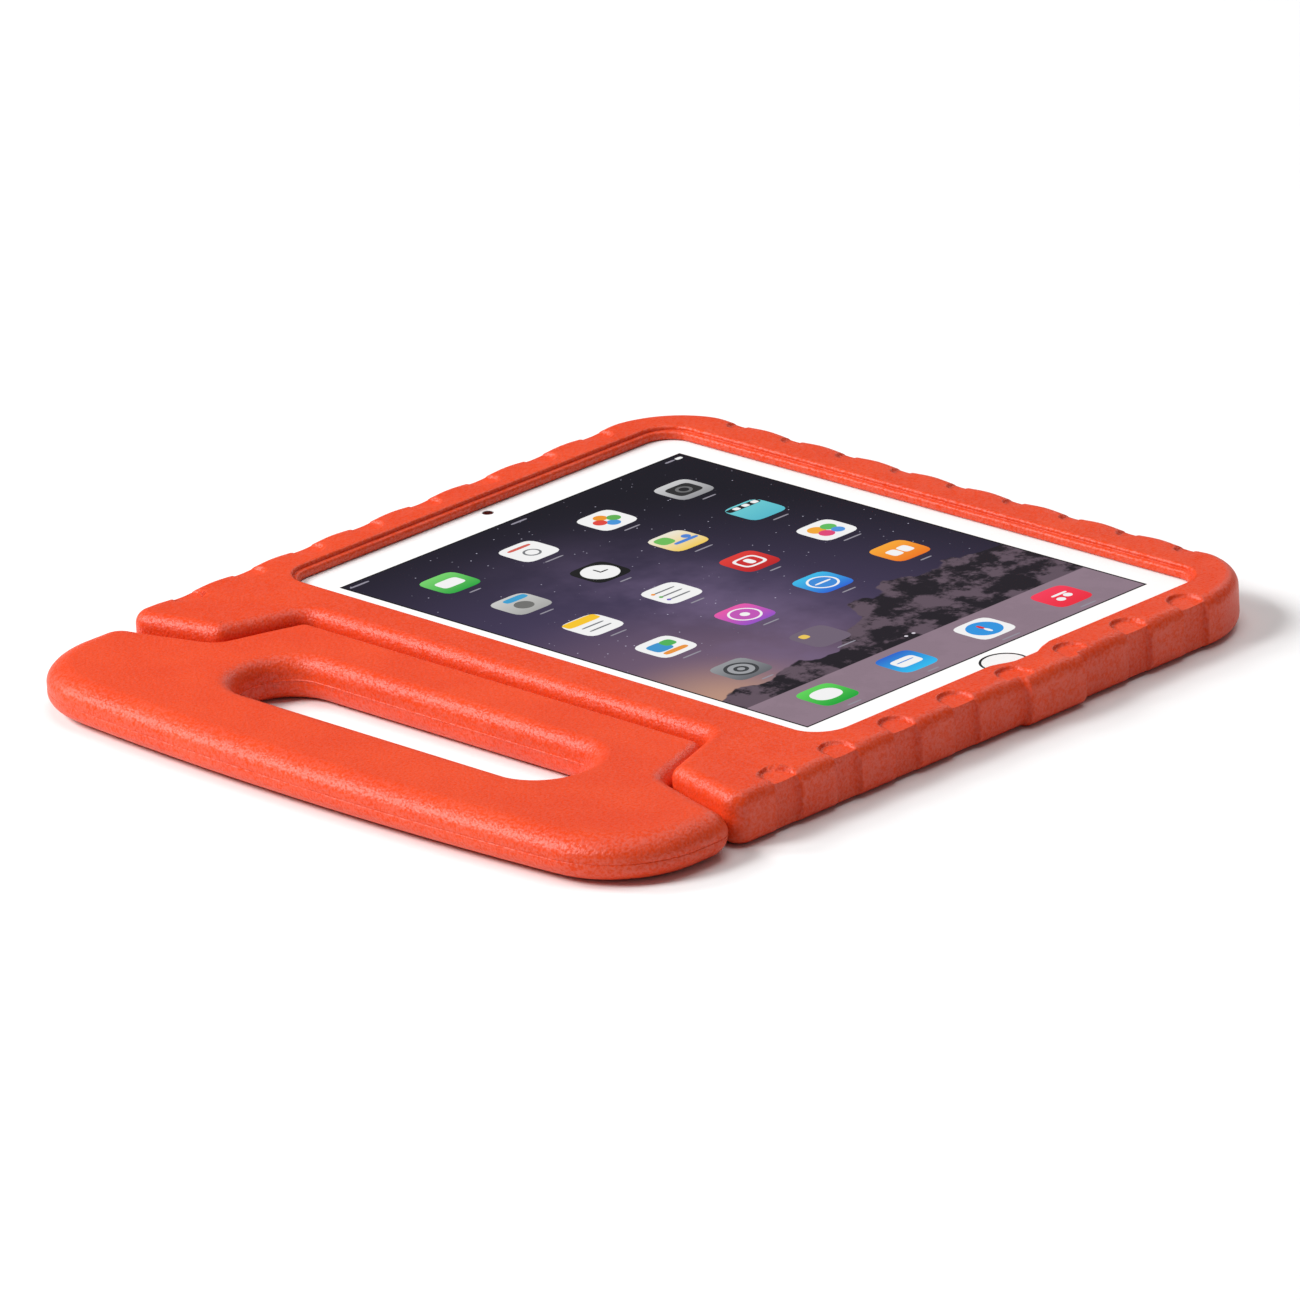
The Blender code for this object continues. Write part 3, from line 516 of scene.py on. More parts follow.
def shape_body(rings):
    """Cut the grip grooves and raise the bulge beside the home button, on the outer rings.

    A groove's floor is flat on the wall and flat on the top and underside, and the floors
    meet in a sharp crease: no point of it lies further out than the wall less the depth,
    or higher than the top less the depth. The two grooves at the bulge are open on top only.
    The top's outer part dips towards each groove as the square of a cosine of the way
    along, and the dip fades to nothing at PILLOW_REACH in from the wall.
    """
    x, y, z = rings[:, :, 0], rings[:, :, 1], rings[:, :, 2]
    for axis, side, half, reach, pitch, steps, start in (
            (0, 1, GROOVE_HALF, GROOVE_REACH, SIDE_PITCH, HOME_SIDE_STEPS, TABLET_Y),
            (0, -1, GROOVE_HALF, GROOVE_REACH, SIDE_PITCH, CAMERA_SIDE_STEPS, TABLET_Y),
            (1, 1, FAR_GROOVE_HALF, FAR_GROOVE_REACH, FAR_PITCH, FAR_SIDE_STEPS, 0.0)):
        wall = BODY_HALF if axis == 0 else FAR_Y
        inward = wall - side * rings[:, :, axis]
        along = (y if axis == 0 else x) - start
        share = groove_share(along, inward, half, reach, [pitch * step for step in steps])
        if axis == 0:
            share = share * (inward < GROOVED_BAND) * (y < SIDE_GROOVES_END)
        else:
            share = share * (inward < GROOVED_BAND) * (np.abs(x) < FAR_GROOVES_END)
        depth = GROOVE_DEPTH * share
        rings[:, :, axis] = side * np.minimum(side * rings[:, :, axis], wall - depth)
        rings[:, :, 2] = np.clip(z, depth * TOP_SHARE, BODY_TOP - depth * TOP_SHARE)
        wave = np.cos(math.pi * (along / pitch - steps[0])) ** 2
        middle_step = (steps[0] + steps[-1]) / 2
        spanned = np.abs(along / pitch - middle_step) < (steps[-1] - steps[0] + 1) / 2
        near = smooth((PILLOW_REACH - inward) / PILLOW_REACH) * (inward < GROOVED_BAND)
        high = smooth((z - BODY_TOP / 2) / (BODY_TOP / 2 - 5 * MM))
        rings[:, :, 2] -= PILLOW * wave * spanned * near * high
    inward = BODY_HALF - x
    share = groove_share(y - TABLET_Y, inward, GROOVE_HALF, GROOVE_REACH,
                         [-SIDE_PITCH / 2, SIDE_PITCH / 2])
    share = share * smooth((inward - 1 * MM) / (3 * MM)) * (x > 0) * (z > BODY_TOP / 2)
    rings[:, :, 2] = np.minimum(rings[:, :, 2], BODY_TOP - GROOVE_DEPTH * TOP_SHARE * share)
    bulge = smooth((BULGE_HALF - np.abs(y - TABLET_Y)) / (0.9 * MM) + 0.5)
    fade = smooth((x - (BODY_HALF - 9 * MM)) / (5 * MM))
    rings[:, :, 0] += BULGE_DEPTH * bulge * fade


def body_cutters():
    """Cut-outs of the body: rear camera, volume slot, power slot, jack hole, pin seats."""
    lens = (lens_low + lens_high) / 2
    key_z = (power_low.z + power_high.z) / 2
    inside = tablet_high.y - CUT_OVERLAP
    cutters = [round_cutter("cut_rear_camera", REAR_CAMERA_HOLE_RADIUS,
                            (lens.x, lens.y, -3 * MM),
                            (lens.x, lens.y, tablet_low.z + CUT_OVERLAP))]
    low, high = mute_low.x - 4.5 * MM, volume_high.x + 4 * MM
    middle = (low + high) / 2
    cutters.append(pill_cutter("cut_volume_slot", ((high - low) / 2, SLOT_HALF_HEIGHT),
                               SLOT_RADIUS, (middle, FAR_Y + CUT_PAST, key_z),
                               (middle, inside, key_z), "Y"))
    power_y = (power_low.y + power_high.y) / 2
    edge = -tablet_high.x + CUT_OVERLAP
    past = -BODY_HALF - CUT_PAST
    cutters.append(pill_cutter("cut_power_slot", (POWER_SLOT_HALF, SLOT_HALF_HEIGHT),
                               SLOT_RADIUS, (edge, power_y, key_z), (past, power_y, key_z),
                               "X"))
    jack_y = (jack_low.y + jack_high.y) / 2
    cutters.append(round_cutter("cut_jack_hole", JACK_HOLE_RADIUS, (edge, jack_y, key_z),
                                (past, jack_y, key_z)))
    axis_y = (pin_low.y + pin_high.y) / 2
    axis_z = (pin_low.z + pin_high.z) / 2
    flange = (pin_high.z - pin_low.z) / 2
    for side in (-1, 1):
        cutters.append(round_cutter(f"cut_pin_{side}", PIN_SEAT_RADIUS,
                                    (side * (pin_low.x + 5 * MM), axis_y, axis_z),
                                    (side * (pin_high.x - CUT_OVERLAP), axis_y, axis_z)))
        cutters.append(round_cutter(f"cut_flange_{side}", flange + FIT_GAP,
                                    (side * (pin_high.x - PIN_FLANGE_LENGTH), axis_y, axis_z),
                                    (side * (pin_high.x + FIT_GAP), axis_y, axis_z)))
    return cutters


# ---------------------------------------------------------------- foam handle

def foam_handle():
    """Closed band of rings round the hand hole: its wall, the top, the outer edge, the underside.

    The hole's rim is a quarter ellipse, the outer edge is a quarter ellipse whose width
    changes along the outline (wide on the grip, tight on the tab), and the flats run
    straight between them. Under the tab the edge is rounded more, as on the body. At mid
    height a thin parting line stands out of the hole's wall and is sunk into the outer
    wall, as a bell curve of the height.
    """
    outer, _ = handle_loop()
    q = outer.stations(1.0 * MM, 18)
    flat, normal = outer.at(q)
    stations = [-0.5, 0, 1, 2, 3, 4, 4.5, 5, 6, 7, 8, 9, 9.5]
    hole_at = [-0.5, -0.275, 0.0, 0.7, 1.0, 1.3, 1.5, 1.7, 2.0, 2.3, 3.0, 3.275, 3.5]
    p = np.interp(q, stations, hole_at)
    edge_stations = [-0.5, 0.0, 1.0, 1.6, 2.0, 2.4, 2.8, 3.5, 4.5]
    edge_stations += [9 - s for s in edge_stations[::-1][1:]]
    widths = [8.6, 8.6, 9.0, 8.6, 8.2, 7.6, 5.6, 4.2, 4.2]
    widths += widths[::-1][1:]
    heights = [5.2, 5.2, 5.4, 6.0, 6.6, 6.4, 5.2, 4.2, 4.2]
    heights += heights[::-1][1:]
    wide = np.interp(q, edge_stations, widths) * MM
    tall = np.interp(q, edge_stations, heights) * MM
    hole = rectangle_loop(HAND_HOLE_HALF, HAND_HOLE_RADIUS, HAND_HOLE_Y)
    wall, wall_normal = hole.at(p)
    middle = HANDLE_TOP / 2
    upper, lower = [], []

    def pair(points, rise, under=None, drop=None):
        """A ring above mid height and its twin below, which is alike unless it is given."""
        upper.append((points, middle + rise))
        twin = points if under is None else under
        lower.append((twin, middle - (rise if drop is None else drop)))

    for height in FLASH_HEIGHTS:
        pair(wall - wall_normal * (FLASH * math.exp(-(height / FLASH_WIDTH) ** 2)), height)
    for angle in np.linspace(0, 90, 13):
        turn = math.radians(angle)
        pair(wall + wall_normal * (HAND_HOLE_RIM * (1 - math.cos(turn))),
             middle - HAND_HOLE_RIM * (1 - math.sin(turn)))
    inner_ring = wall + wall_normal * HAND_HOLE_RIM
    relief = np.interp(q, [1.6, 2.4, 3.4, 5.6, 6.6, 7.4], [0, 1, 1, 1, 1, 0])
    wide_under = np.maximum(wide, UNDER_EDGE * relief)
    tall_under = np.maximum(tall, UNDER_EDGE * relief)
    for share in np.linspace(0, 1, 16)[1:-1]:
        pair(blended(inner_ring, flat - normal * wide[:, None], share), middle,
             blended(inner_ring, flat - normal * wide_under[:, None], share))
    for angle in np.linspace(90, 0, 21):
        turn = math.radians(angle)
        draft = DRAFT * math.sin(turn)
        inset = draft + (wide - draft) * (1 - math.cos(turn))
        inset_under = draft + (wide_under - draft) * (1 - math.cos(turn))
        pair(flat - normal * inset[:, None], middle - tall * (1 - math.sin(turn)),
             flat - normal * inset_under[:, None], middle - tall_under * (1 - math.sin(turn)))
    for height in FLASH_HEIGHTS[::-1]:
        pair(flat - normal * (FLASH * math.exp(-(height / FLASH_WIDTH) ** 2)), height)
    rings = [lifted(points, z) for points, z in upper]
    rings += [lifted(points, z) for points, z in lower[::-1][1:-1]]
    handle = grid_mesh("handle_foam", np.array(rings)[::-1], closed_rings=True)
    bores = []
    axis_y = (bush_low.y + bush_high.y) / 2
    axis_z = (bush_low.z + bush_high.z) / 2
    radius = (bush_high.z - bush_low.z) / 2 + FIT_GAP
    for side in (-1, 1):
        bores.append(round_cutter(f"cut_bore_{side}", radius,
                                  (side * (bush_low.x - 2 * MM), axis_y, axis_z),
                                  (side * NECK[0], axis_y, axis_z)))
    cut(handle, bores)
    return handle


# ---------------------------------------------------------------- materials

def linear(*levels):
    """Linear RGBA of a display colour given as 0 to 255 levels."""
    share = [level / 255 for level in levels]
    found = [s / 12.92 if s <= 0.04045 else ((s + 0.055) / 1.055) ** 2.4 for s in share]
    return (*found, 1.0)


class Finish:
    """A node material with its Principled shader and short ways to add nodes."""

    def __init__(self, name):
        self.material = bpy.data.materials.new(name)
        self.material.use_nodes = True
        self.nodes = self.material.node_tree.nodes
        self.links = self.material.node_tree.links
        self.shader = self.nodes["Principled BSDF"]
        self.place = self.nodes.new("ShaderNodeTexCoord").outputs["Object"]

    def wire(self, value, socket):
        """Link a socket, or set a plain value."""
        if isinstance(value, bpy.types.NodeSocket):
            self.links.new(value, socket)
        else:
            socket.default_value = value

    def set(self, **values):
        """Values or sockets for the shader's inputs, named with underscores for spaces."""
        for name, value in values.items():
            self.wire(value, self.shader.inputs[name.replace("_", " ")])

    def math(self, operation, first, second=0.0, clamp=False):
        """One sum of two values."""
        node = self.nodes.new("ShaderNodeMath")
        node.operation = operation
        node.use_clamp = clamp
        self.wire(first, node.inputs[0])
        self.wire(second, node.inputs[1])
        return node.outputs[0]

    def split(self):
        """The x, y and z of a point."""
        node = self.nodes.new("ShaderNodeSeparateXYZ")
        self.links.new(self.place, node.inputs[0])
        return node.outputs

    def noise(self, scale, detail=3.0, rough=0.5):
        """Value noise about 0.5, with scale in repeats per metre."""
        node = self.nodes.new("ShaderNodeTexNoise")
        self.links.new(self.place, node.inputs["Vector"])
        node.inputs["Scale"].default_value = scale
        node.inputs["Detail"].default_value = detail
        node.inputs["Roughness"].default_value = rough
        return node.outputs["Fac"]

    def cells(self, scale):
        """Cell pattern's outputs, among them the distance to the nearest cell's middle."""
        node = self.nodes.new("ShaderNodeTexVoronoi")
        self.links.new(self.place, node.inputs["Vector"])
        node.inputs["Scale"].default_value = scale
        return node.outputs

    def ramp(self, value, low, high, first=0.0, last=1.0):
        """Smooth step from first at low to last at high."""
        node = self.nodes.new("ShaderNodeMapRange")
        node.interpolation_type = "SMOOTHSTEP"
        self.wire(value, node.inputs["Value"])
        for name, level in (("From Min", low), ("From Max", high), ("To Min", first),
                            ("To Max", last)):
            self.wire(level, node.inputs[name])
        return node.outputs["Result"]

    def mix(self, share, first, second):
        """Colour a share of the way from first to second."""
        node = self.nodes.new("ShaderNodeMix")
        node.data_type = "RGBA"
        self.wire(share, node.inputs["Factor"])
        self.wire(first, node.inputs[6])
        self.wire(second, node.inputs[7])
        return node.outputs[2]

    def bump(self, height, strength, distance):
        """Fine relief of the surface from a height pattern."""
        node = self.nodes.new("ShaderNodeBump")
        node.inputs["Strength"].default_value = strength
        node.inputs["Distance"].default_value = distance
        self.wire(height, node.inputs["Height"])
        self.links.new(node.outputs["Normal"], self.shader.inputs["Normal"])


def foam_finish(name, dark, light):
    """Closed-cell foam skin: faint mottling and a fine leathery grain."""
    look = Finish(name)
    patches = look.noise(45.0, 4.0, 0.6)
    colour = look.mix(look.ramp(patches, 0.3, 0.7), dark, light)
    grain = look.noise(1000.0, 3.0, 0.6)
    pores = look.cells(1300.0)["Distance"]
    look.set(Base_Color=colour, Roughness=look.ramp(grain, 0.35, 0.65, 0.34, 0.54),
             Specular_IOR_Level=look.ramp(grain, 0.35, 0.65, 0.1, 0.8))
    height = look.math("ADD", look.math("MULTIPLY", grain, 0.7),
                       look.math("MULTIPLY", pores, 0.5))
    look.bump(height, 0.8, 0.25 * MM)
    return look.material


def plain_finish(name, colour, rough, metallic=0.0, grain=400.0, shade=0.85):
    """Moulded or machined finish: slight colour and roughness variation and a fine bump."""
    look = Finish(name)
    spread = look.noise(grain, 3.0)
    darker = tuple(level * shade for level in colour[:3]) + (1.0,)
    look.set(Base_Color=look.mix(look.ramp(spread, 0.3, 0.7), darker, colour),
             Roughness=look.ramp(spread, 0.2, 0.8, rough * 0.85, rough * 1.15),
             Metallic=metallic)
    look.bump(spread, 0.08, 0.1 * MM)
    return look.material


def screen_finish():
    """Cover glass: white border, thin dark line, and a lit night-sky picture in the middle."""
    look = Finish("lit_screen_glass")
    x, y, _ = look.split()
    down = look.math("SUBTRACT", look.math("ABSOLUTE", x), DISPLAY_HALF[0])
    across = look.math("SUBTRACT", look.math("ABSOLUTE", look.math("SUBTRACT", y, TABLET_Y)),
                       DISPLAY_HALF[1])
    outside = look.math("MAXIMUM", down, across)
    lit = look.ramp(outside, 0.0001, -0.0001)
    line = look.ramp(outside, 0.0008, 0.0006)
    from_x = look.math("SUBTRACT", x, GLOW[0])
    from_y = look.math("SUBTRACT", y, TABLET_Y + GLOW[1])
    away = look.math("SQRT", look.math("ADD", look.math("MULTIPLY", from_x, from_x),
                                       look.math("MULTIPLY", from_y, from_y)))
    sky = look.mix(look.ramp(away, 0.0, 0.045), linear(190, 148, 128), linear(112, 90, 112))
    sky = look.mix(look.ramp(away, 0.03, 0.10), sky, linear(66, 56, 86))
    sky = look.mix(look.ramp(away, 0.07, 0.19), sky, linear(18, 15, 28))
    band = look.math("ABSOLUTE", look.math("ADD", y, 20 * MM - TABLET_Y))
    haze = look.math("MULTIPLY", look.ramp(band, 0.05, 0.0), look.ramp(x, -0.09, 0.0))
    haze = look.math("MULTIPLY", haze, look.ramp(look.noise(26.0, 4.0, 0.6), 0.35, 0.7))
    sky = look.mix(look.math("MULTIPLY", haze, 0.6), sky, linear(120, 102, 136))
    stars = look.cells(300.0)
    spark = look.ramp(stars["Distance"], 0.10, 0.03)
    spread = look.math("MULTIPLY", look.noise(900.0, 0.0), look.ramp(x, 0.07, 0.01))
    spark = look.math("MULTIPLY", spark, look.ramp(spread, 0.33, 0.62), True)
    sky = look.mix(spark, sky, linear(214, 210, 232))
    ridge = look.math("MULTIPLY", look.math("SUBTRACT", look.noise(16.0, 5.0, 0.5), 0.5), 0.09)
    lean = look.math("MULTIPLY", look.math("SUBTRACT", y, TABLET_Y), 0.27)
    slope = look.math("ADD", lean, ridge)
    hill = look.ramp(look.math("ADD", x, slope), 0.0525, 0.0535)
    rock = look.mix(look.ramp(look.noise(70.0, 6.0, 0.65), 0.46, 0.56),
                    linear(30, 24, 32), linear(98, 82, 94))
    sky = look.mix(hill, sky, rock)
    dock = look.ramp(x, DOCK_X, DOCK_X + 0.3 * MM)
    sky = look.mix(look.math("MULTIPLY", dock, 0.88), sky, linear(150, 128, 142))
    border = look.mix(look.noise(60.0), linear(243, 242, 241), linear(248, 247, 247))
    look.set(Base_Color=look.mix(line, border, linear(10, 10, 12)),
             Emission_Color=look.mix(lit, linear(0, 0, 0), sky),
             Emission_Strength=PICTURE_GLOW,
             Roughness=look.ramp(look.noise(30.0), 0.3, 0.7, 0.10, 0.16),
             Specular_IOR_Level=0.06)
    return look.material


def tint_finish():
    """Lit picture elements, each in the colour of its own attribute."""
    look = Finish("lit_icons")
    node = look.nodes.new("ShaderNodeAttribute")
    node.attribute_name = "tint"
    look.set(Base_Color=linear(8, 8, 8), Emission_Color=node.outputs["Color"],
             Emission_Strength=PICTURE_GLOW, Roughness=0.13, Specular_IOR_Level=0.12)
    return look.material


def paint(item, look):
    """Give an object one material."""
    item.data.materials.clear()
    item.data.materials.append(look)


# ---------------------------------------------------------------- screen icons

def spot(x, y, half_x, half_y, power, colour, end=None, layer=1):
    """One lit shape on the screen: place, half sizes, squareness, colours and layer."""
    return {"at": (x, y), "half": (half_x, half_y), "power": power, "colour": colour,
            "end": end or colour, "layer": layer}


def tile(row, column, colour, end, glyphs=()):
    """Rounded square icon with a colour that runs from its top to its foot, and its glyphs.

    A glyph is (down, right, half down, half right, squareness, colour), in millimetres.
    """
    x = ICON_ROWS[row]
    y = TABLET_Y + (column - 1.5) * ICON_COLUMN
    shapes = [spot(x, y, ICON_HALF, ICON_HALF, 5, colour, end)]
    for number, (down, right, half_down, half_right, power, tint) in enumerate(glyphs):
        shapes.append(spot(x + down * MM, y + right * MM, half_down * MM, half_right * MM,
                           power, tint, layer=2 + number))
    width = (2.4 + (row * 5 + column * 3) % 4 * 0.5) * MM
    shapes.append(spot(x + LABEL_DROP, y, LABEL_HALF_HEIGHT, width, 4, LABEL_GREY))
    return shapes


def icon_shapes():
    """Plain icons in rows, without marks or lettering, and the status bar's short bars."""
    grey = (120, 122, 126)
    bars = [(down, 0, 0.4, 4.6, 4, grey) for down in (-3.4, 0, 3.4)]
    ring = [(0, 0, 5.2, 5.2, 2, WHITE), (0, 0, 4.4, 4.4, 2, (60, 140, 220))]
    shapes = tile(0, 0, (120, 214, 110), (40, 168, 64), [(0, 0, 3.0, 4.6, 5, WHITE)])
    shapes += tile(0, 1, WHITE, WHITE, [(-4.4, 0, 0.8, 4.8, 4, (214, 96, 84)),
                                        (1.4, 0, 3.0, 3.0, 2, grey), (1.4, 0, 2.2, 2.2, 2, WHITE)])
    petals = [((-3.0, 0), (240, 150, 40)), ((3.0, 0), (70, 150, 220)), ((0, -3.0), (226, 70, 60)),
              ((0, 3.0), (96, 178, 80))]
    shapes += tile(0, 2, WHITE, WHITE, [(*place, 2.3, 2.3, 2, tint) for place, tint in petals])
    shapes += tile(0, 3, (206, 206, 208), (150, 150, 154),
                   [(0, 0, 4.4, 5.2, 5, (40, 40, 42)), (0, 0, 2.8, 2.8, 2, (110, 110, 112)),
                    (0, 0, 1.7, 1.7, 2, (30, 30, 34))])
    shapes += tile(1, 0, (206, 206, 204), (170, 170, 168),
                   [(-4.6, 2, 1.6, 4.6, 4, (60, 160, 210)), (1.2, 0, 3.2, 3.2, 2, (112, 112, 110))])
    shapes += tile(1, 1, (18, 18, 20), (10, 10, 12),
                   [(0, 0, 6.2, 6.2, 2, WHITE), (-1.4, 0, 1.8, 0.35, 3, (20, 20, 20)),
                    (0.2, 1.4, 0.35, 1.8, 3, (20, 20, 20))])
    shapes += tile(1, 2, (240, 236, 220), (244, 206, 90),
                   [(-3, -3, 3.0, 3.0, 3, (110, 190, 90)), (1.5, 2.0, 0.9, 5.0, 4, (76, 132, 214)),
                    (-1, 4.4, 1.6, 1.6, 2, (76, 132, 214))])
    shapes += tile(1, 3, (110, 206, 214), (84, 186, 204),
                   [(-5.2, 0, 1.4, 7.0, 6, (24, 24, 26)), (-5.2, -3, 1.1, 1.2, 4, WHITE),
                    (-5.2, 1, 1.1, 1.2, 4, WHITE), (-5.2, 5, 1.1, 1.2, 4, WHITE)])
    shapes += tile(2, 0, WHITE, WHITE, [(-5.0, 0, 2.2, 6.8, 6, (250, 200, 40)), *bars[1:]])
    dots = [(-3.4 + 3.4 * k, -4.6, 0.7, 0.7, 2, tint)
            for k, tint in enumerate(((240, 150, 40), (96, 178, 80), (110, 90, 190)))]
    shapes += tile(2, 1, WHITE, WHITE, bars + dots)
    shapes += tile(2, 2, (226, 58, 52), (190, 26, 30),
                   [(0, 0, 4.2, 4.8, 4, WHITE), (0, 0, 3.2, 3.8, 4, (206, 40, 40)),
                    (0, 0, 2.2, 1.4, 3, WHITE)])
    shapes += tile(2, 3, WHITE, WHITE,
                   [(-2.2, -2.2, 3, 3, 2, (246, 170, 50)), (2, -2, 2.6, 2.6, 2, (226, 70, 120)),
                    (-1.6, 2.4, 2.6, 2.6, 2, (96, 190, 96)),
                    (2.4, 2.6, 2.2, 2.2, 2, (80, 150, 226))])
    shapes += tile(3, 0, WHITE, WHITE,
                   [(-1, -1.6, 3.4, 3.6, 4, (60, 150, 210)), (-2, 2.8, 2.4, 2.4, 3, (80, 180, 90)),
                    (4.2, 0, 1.2, 4.8, 4, (236, 150, 60))])
    shapes += tile(3, 1, (236, 90, 170), (150, 80, 200),
                   [(0, 0, 5.4, 5.4, 2, WHITE), (0, 0, 4.6, 4.6, 2, (196, 86, 184)),
                    (0, 0, 1.6, 1.6, 2, WHITE)])
    shapes += tile(3, 2, (60, 190, 236), (40, 100, 216), ring + [(0, 0, 0.5, 3.4, 3, WHITE)])
    shapes += tile(3, 3, (252, 170, 50), (242, 120, 20),
                   [(0, -2.4, 2.6, 2.1, 4, WHITE), (0, 2.4, 2.6, 2.1, 4, WHITE)])
    shapes += tile(4, 0, (150, 152, 156), (100, 102, 108),
                   [(0, 0, 5.4, 5.4, 2, (60, 62, 66)), (0, 0, 4.2, 4.2, 2, (160, 162, 166)),
                    (0, 0, 2.4, 2.4, 2, (60, 62, 66)), (0, 0, 1.2, 1.2, 2, (160, 162, 166))])
    shapes += tile(4, 1, (112, 98, 116), (112, 98, 116),
                   [(-3.4, -3.4, 1.6, 1.6, 3, (238, 200, 90))])
    shapes += tile(5, 0, (96, 214, 90), (20, 166, 54), [(-0.6, 0, 4.2, 5.2, 2.4, WHITE)])
    shapes += tile(5, 1, (40, 100, 206), (44, 190, 244), [(0, 0, 3.2, 4.8, 5, WHITE),
                                                          (-0.6, 0, 0.3, 3.6, 3, (70, 140, 220))])
    shapes += tile(5, 2, WHITE, WHITE, [(0, 0, 5.8, 5.8, 2, (46, 150, 226)),
                                        (-1.6, 0, 1.8, 0.7, 2, (220, 50, 50)),
                                        (1.6, 0, 1.8, 0.7, 2, WHITE)])
    shapes += tile(5, 3, (250, 60, 90), (238, 40, 60), [(1.6, -1.8, 1.5, 1.5, 2, WHITE),
                                                        (0.6, 2.2, 1.5, 1.5, 2, WHITE),
                                                        (-1.8, 0.8, 0.6, 3.2, 4, WHITE)])
    bar_x = -96.0 * MM
    for y, half in ((-69.0 * MM, 4.0 * MM), (0.0, 3.4 * MM), (67.0 * MM, 2.0 * MM)):
        shapes.append(spot(bar_x, TABLET_Y + y, 0.45 * MM, half, 4, (150, 146, 160)))
    shapes.append(spot(bar_x, TABLET_Y + 71.0 * MM, 0.8 * MM, 1.4 * MM, 4, WHITE))
    for y in (-1.6 * MM, 1.6 * MM):
        shapes.append(spot(70.5 * MM, TABLET_Y + y, 0.6 * MM, 0.6 * MM, 2, (220, 214, 224)))
    return shapes


def screen_icons():
    """All lit shapes as one mesh with a colour attribute.

    A shape's outline is a superellipse: |x / a| ** n + |y / b| ** n = 1, with n as its
    squareness. Rings shrink from the outline to the middle, and a skirt goes down into
    the glass.
    """
    turn = np.linspace(0, 2 * math.pi, 40, endpoint=False)
    cos, sin = np.cos(turn), np.sin(turn)
    shares = np.array([1.0, 1.0, 0.75, 0.5, 0.25])
    points, tints, faces = [], [], []
    size = len(turn)
    index = np.arange(len(shares) * size).reshape(len(shares), size)
    low, high = index[:-1], index[1:]
    quads = np.stack([low, np.roll(low, -1, 1), np.roll(high, -1, 1), high], -1).reshape(-1, 4)
    fan = np.stack([index[-1], np.roll(index[-1], -1), np.full(size, index.size)], 1)
    for number, shape in enumerate(icon_shapes()):
        power = shape["power"]
        radius = (np.abs(cos) ** power + np.abs(sin) ** power) ** (-1 / power)
        flat_x = np.outer(shares, cos * radius)
        flat_y = np.outer(shares, sin * radius)
        lift = ICON_LIFT + LAYER_LIFT * shape["layer"]
        height = np.full(flat_x.shape, GLASS_TOP + lift)
        height[0] = GLASS_TOP - ICON_LIFT
        x = np.append(flat_x.ravel(), 0.0)
        y = np.append(flat_y.ravel(), 0.0)
        z = np.append(height.ravel(), height[-1, 0])
        points.append(np.column_stack([shape["at"][0] + x * shape["half"][0],
                                       shape["at"][1] + y * shape["half"][1], z]))
        first = np.array(linear(*shape["colour"]))
        last = np.array(linear(*shape["end"]))
        tints.append(first + (last - first) * ((x + 1) / 2)[:, None])
        start = number * (index.size + 1)
        faces += (quads + start).tolist() + (fan + start).tolist()
    mesh = bpy.data.meshes.new("screen_icons")
    mesh.from_pydata(np.concatenate(points).tolist(), [], faces)
    tint = mesh.attributes.new("tint", "FLOAT_COLOR", "POINT")
    tint.data.foreach_set("color", np.concatenate(tints).astype(np.float32).ravel())
    icons = bpy.data.objects.new("screen_icons", mesh)
    bpy.context.scene.collection.objects.link(icons)
    return icons


def home_ring():
    """Thin metal ring set round the home button: a low round-topped section turned about it."""
    turn = np.linspace(0, 2 * math.pi, 96, endpoint=False)
    middle_y = (home_low.y + home_high.y) / 2
    rings = []
    for angle in np.linspace(0, 2 * math.pi, 12, endpoint=False):
        out = HOME_RING_RADIUS + HOME_RING_HALF_WIDTH * math.cos(angle)
        z = home_high.z + HOME_RING_HALF_HEIGHT * math.sin(angle)
        rings.append(np.column_stack([HOME_X + out * np.cos(turn), middle_y + out * np.sin(turn),
                                      np.full(len(turn), z)]))
    return grid_mesh("home_button_ring", np.array(rings), closed_rings=True)


# ---------------------------------------------------------------- stage

def soft_light(name, place, size, power):
    """White square area light that faces the origin."""
    data = bpy.data.lights.new(name, "AREA")
    data.shape = "SQUARE"
    data.size = size
    data.energy = power
    made = bpy.data.objects.new(name, data)
    bpy.context.scene.collection.objects.link(made)
    made.location = place
    made.rotation_mode = "QUATERNION"
    made.rotation_quaternion = (-Vector(place)).to_track_quat("-Z", "Y")


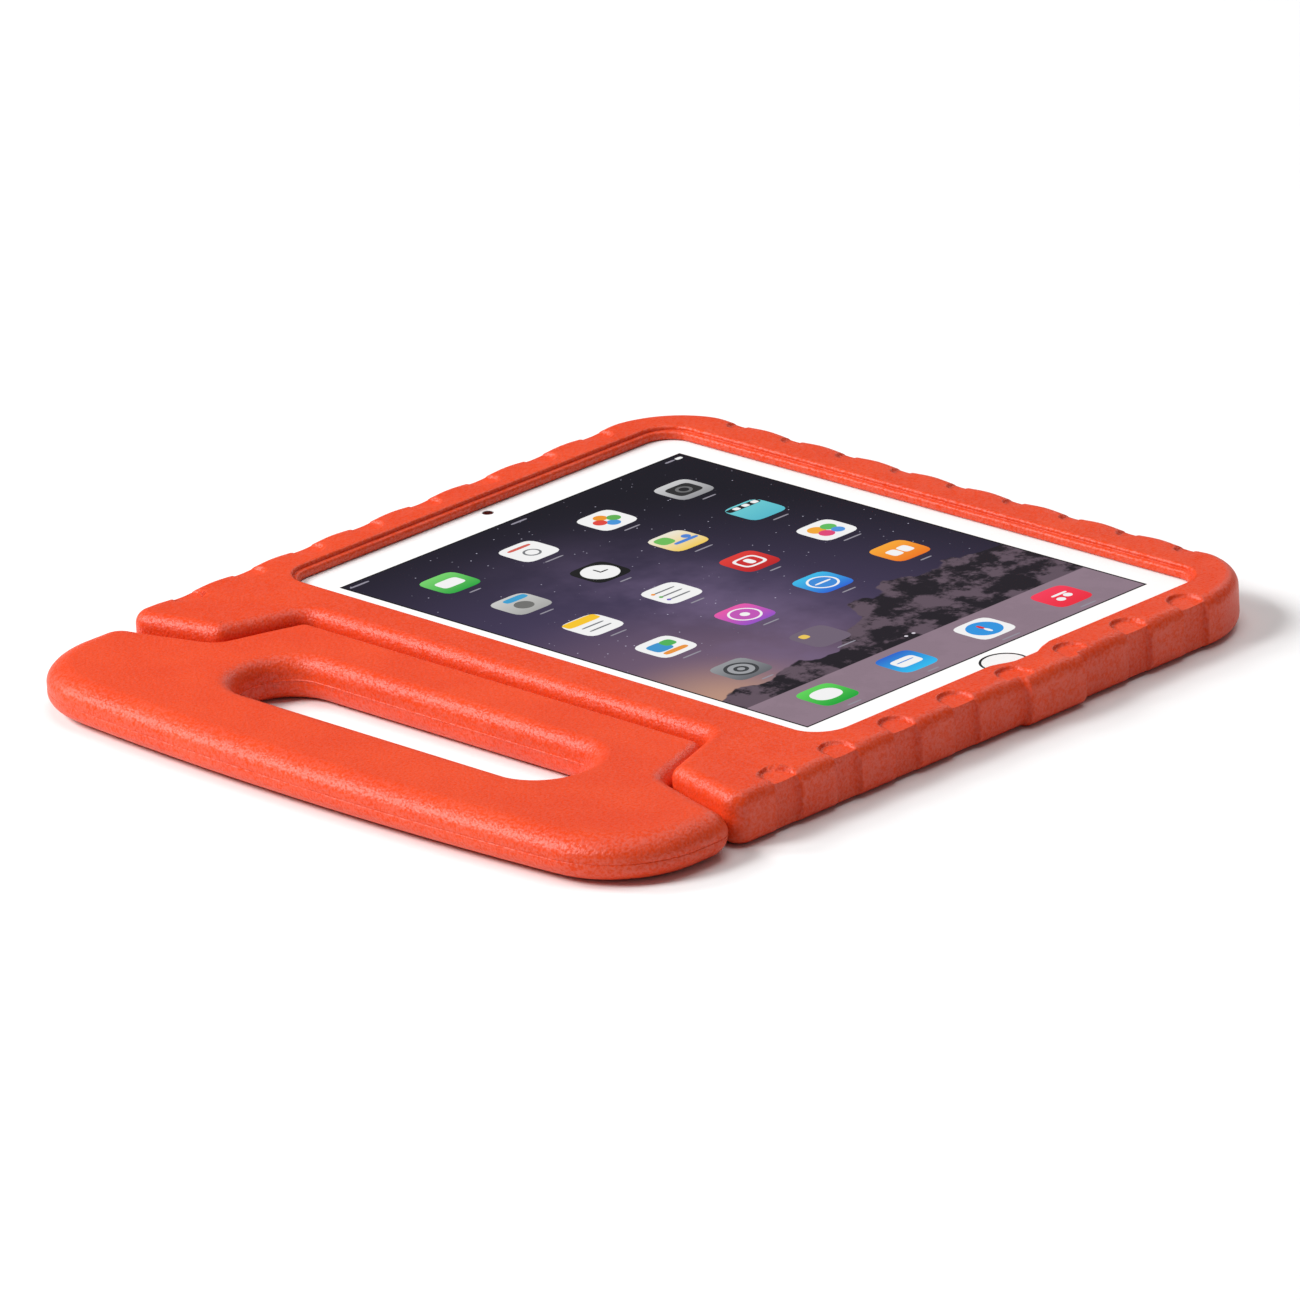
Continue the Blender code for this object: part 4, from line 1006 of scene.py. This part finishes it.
def stage():
    """Pale floor, soft light and the camera."""
    turn = np.linspace(0, 2 * math.pi, 96, endpoint=False)
    radii = np.array([0.3, 0.6, 1.2, 2.5, 5.0, 12.0])[:, None]
    rings = np.stack([radii * np.cos(turn), radii * np.sin(turn),
                      np.full((len(radii), len(turn)), FLOOR_Z)], axis=-1)
    floor = grid_mesh("floor", rings[::-1], poles=[(0, 0, FLOOR_Z)])
    floor.data.materials.append(plain_finish("pale_floor", linear(246, 246, 246), 0.9,
                                             grain=3.0, shade=0.995))
    for light in LIGHTS:
        soft_light(*light)
    world = bpy.data.worlds.new("studio")
    world.use_nodes = True
    background = world.node_tree.nodes["Background"].inputs
    background["Color"].default_value = linear(255, 255, 255)
    background["Strength"].default_value = WORLD_STRENGTH
    bpy.context.scene.world = world
    bpy.context.scene.view_settings.view_transform = "Standard"

    data = bpy.data.cameras.new("camera")
    data.lens = CAMERA_LENS
    data.sensor_width = 36.0
    data.clip_end = 50.0
    camera = bpy.data.objects.new("camera", data)
    bpy.context.scene.collection.objects.link(camera)
    azimuth, elevation, roll = map(math.radians, CAMERA_DEGREES)
    back = Vector((math.sin(azimuth) * math.cos(elevation),
                   -math.cos(azimuth) * math.cos(elevation), math.sin(elevation)))
    camera.location = Vector(CAMERA_AIM) + back * CAMERA_DISTANCE
    camera.rotation_mode = "QUATERNION"
    camera.rotation_quaternion = (-back).to_track_quat("-Z", "Y") @ Quaternion((0, 0, 1), roll)
    bpy.context.scene.camera = camera


def main():
    """Stage, the foam pieces, the screen's pieces, and a finish for every node of the frame."""
    stage()
    foam = foam_finish("foam_skin", linear(222, 66, 27), linear(228, 73, 32))
    body = foam_body()
    paint(body, foam)
    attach(body, "case")
    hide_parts("case_body")
    handle = foam_handle()
    paint(handle, foam)
    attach(handle, "handle")
    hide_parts("handle")

    icons = screen_icons()
    paint(icons, tint_finish())
    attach(icons, "case")
    ring = home_ring()
    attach(ring, "home_button")

    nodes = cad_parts
    metal = plain_finish("satin_aluminium", linear(205, 206, 208), 0.32, 1.0)
    paint(ring, plain_finish("dark_steel", linear(58, 58, 62), 0.3, 1.0))
    nylon = plain_finish("black_nylon", linear(38, 38, 40), 0.45)
    white = plain_finish("white_glass_button", linear(244, 243, 242), 0.14, grain=60.0, shade=0.98)
    lens = plain_finish("lens_glass", linear(12, 12, 18), 0.06)
    black = plain_finish("black_plastic", linear(28, 28, 30), 0.5)
    pouch = plain_finish("battery_pouch", linear(60, 60, 64), 0.45)
    board = plain_finish("circuit_board", linear(22, 70, 44), 0.5)
    finishes = (
        (screen_finish(), ("tablet_front_glass",)),
        (metal, ("tablet_rear_housing", "tablet_charge_port", "tablet_volume_up_button",
                 "tablet_volume_down_button", "tablet_mute_switch", "tablet_power_button")),
        (white, ("tablet_home_button",)),
        (lens, ("tablet_rear_camera", "tablet_front_camera")),
        (black, ("tablet_headphone_jack", "tablet_speaker_left", "tablet_speaker_right",
                 "tablet_display_panel")),
        (pouch, ("tablet_battery_cell_left", "tablet_battery_cell_right")),
        (board, ("tablet_logic_board",)),
        (nylon, ("pivot_pin_left", "pivot_pin_right", "pivot_bush_left", "pivot_bush_right")))
    for look, names in finishes:
        for name in names:
            paint(nodes[name], look)


main()
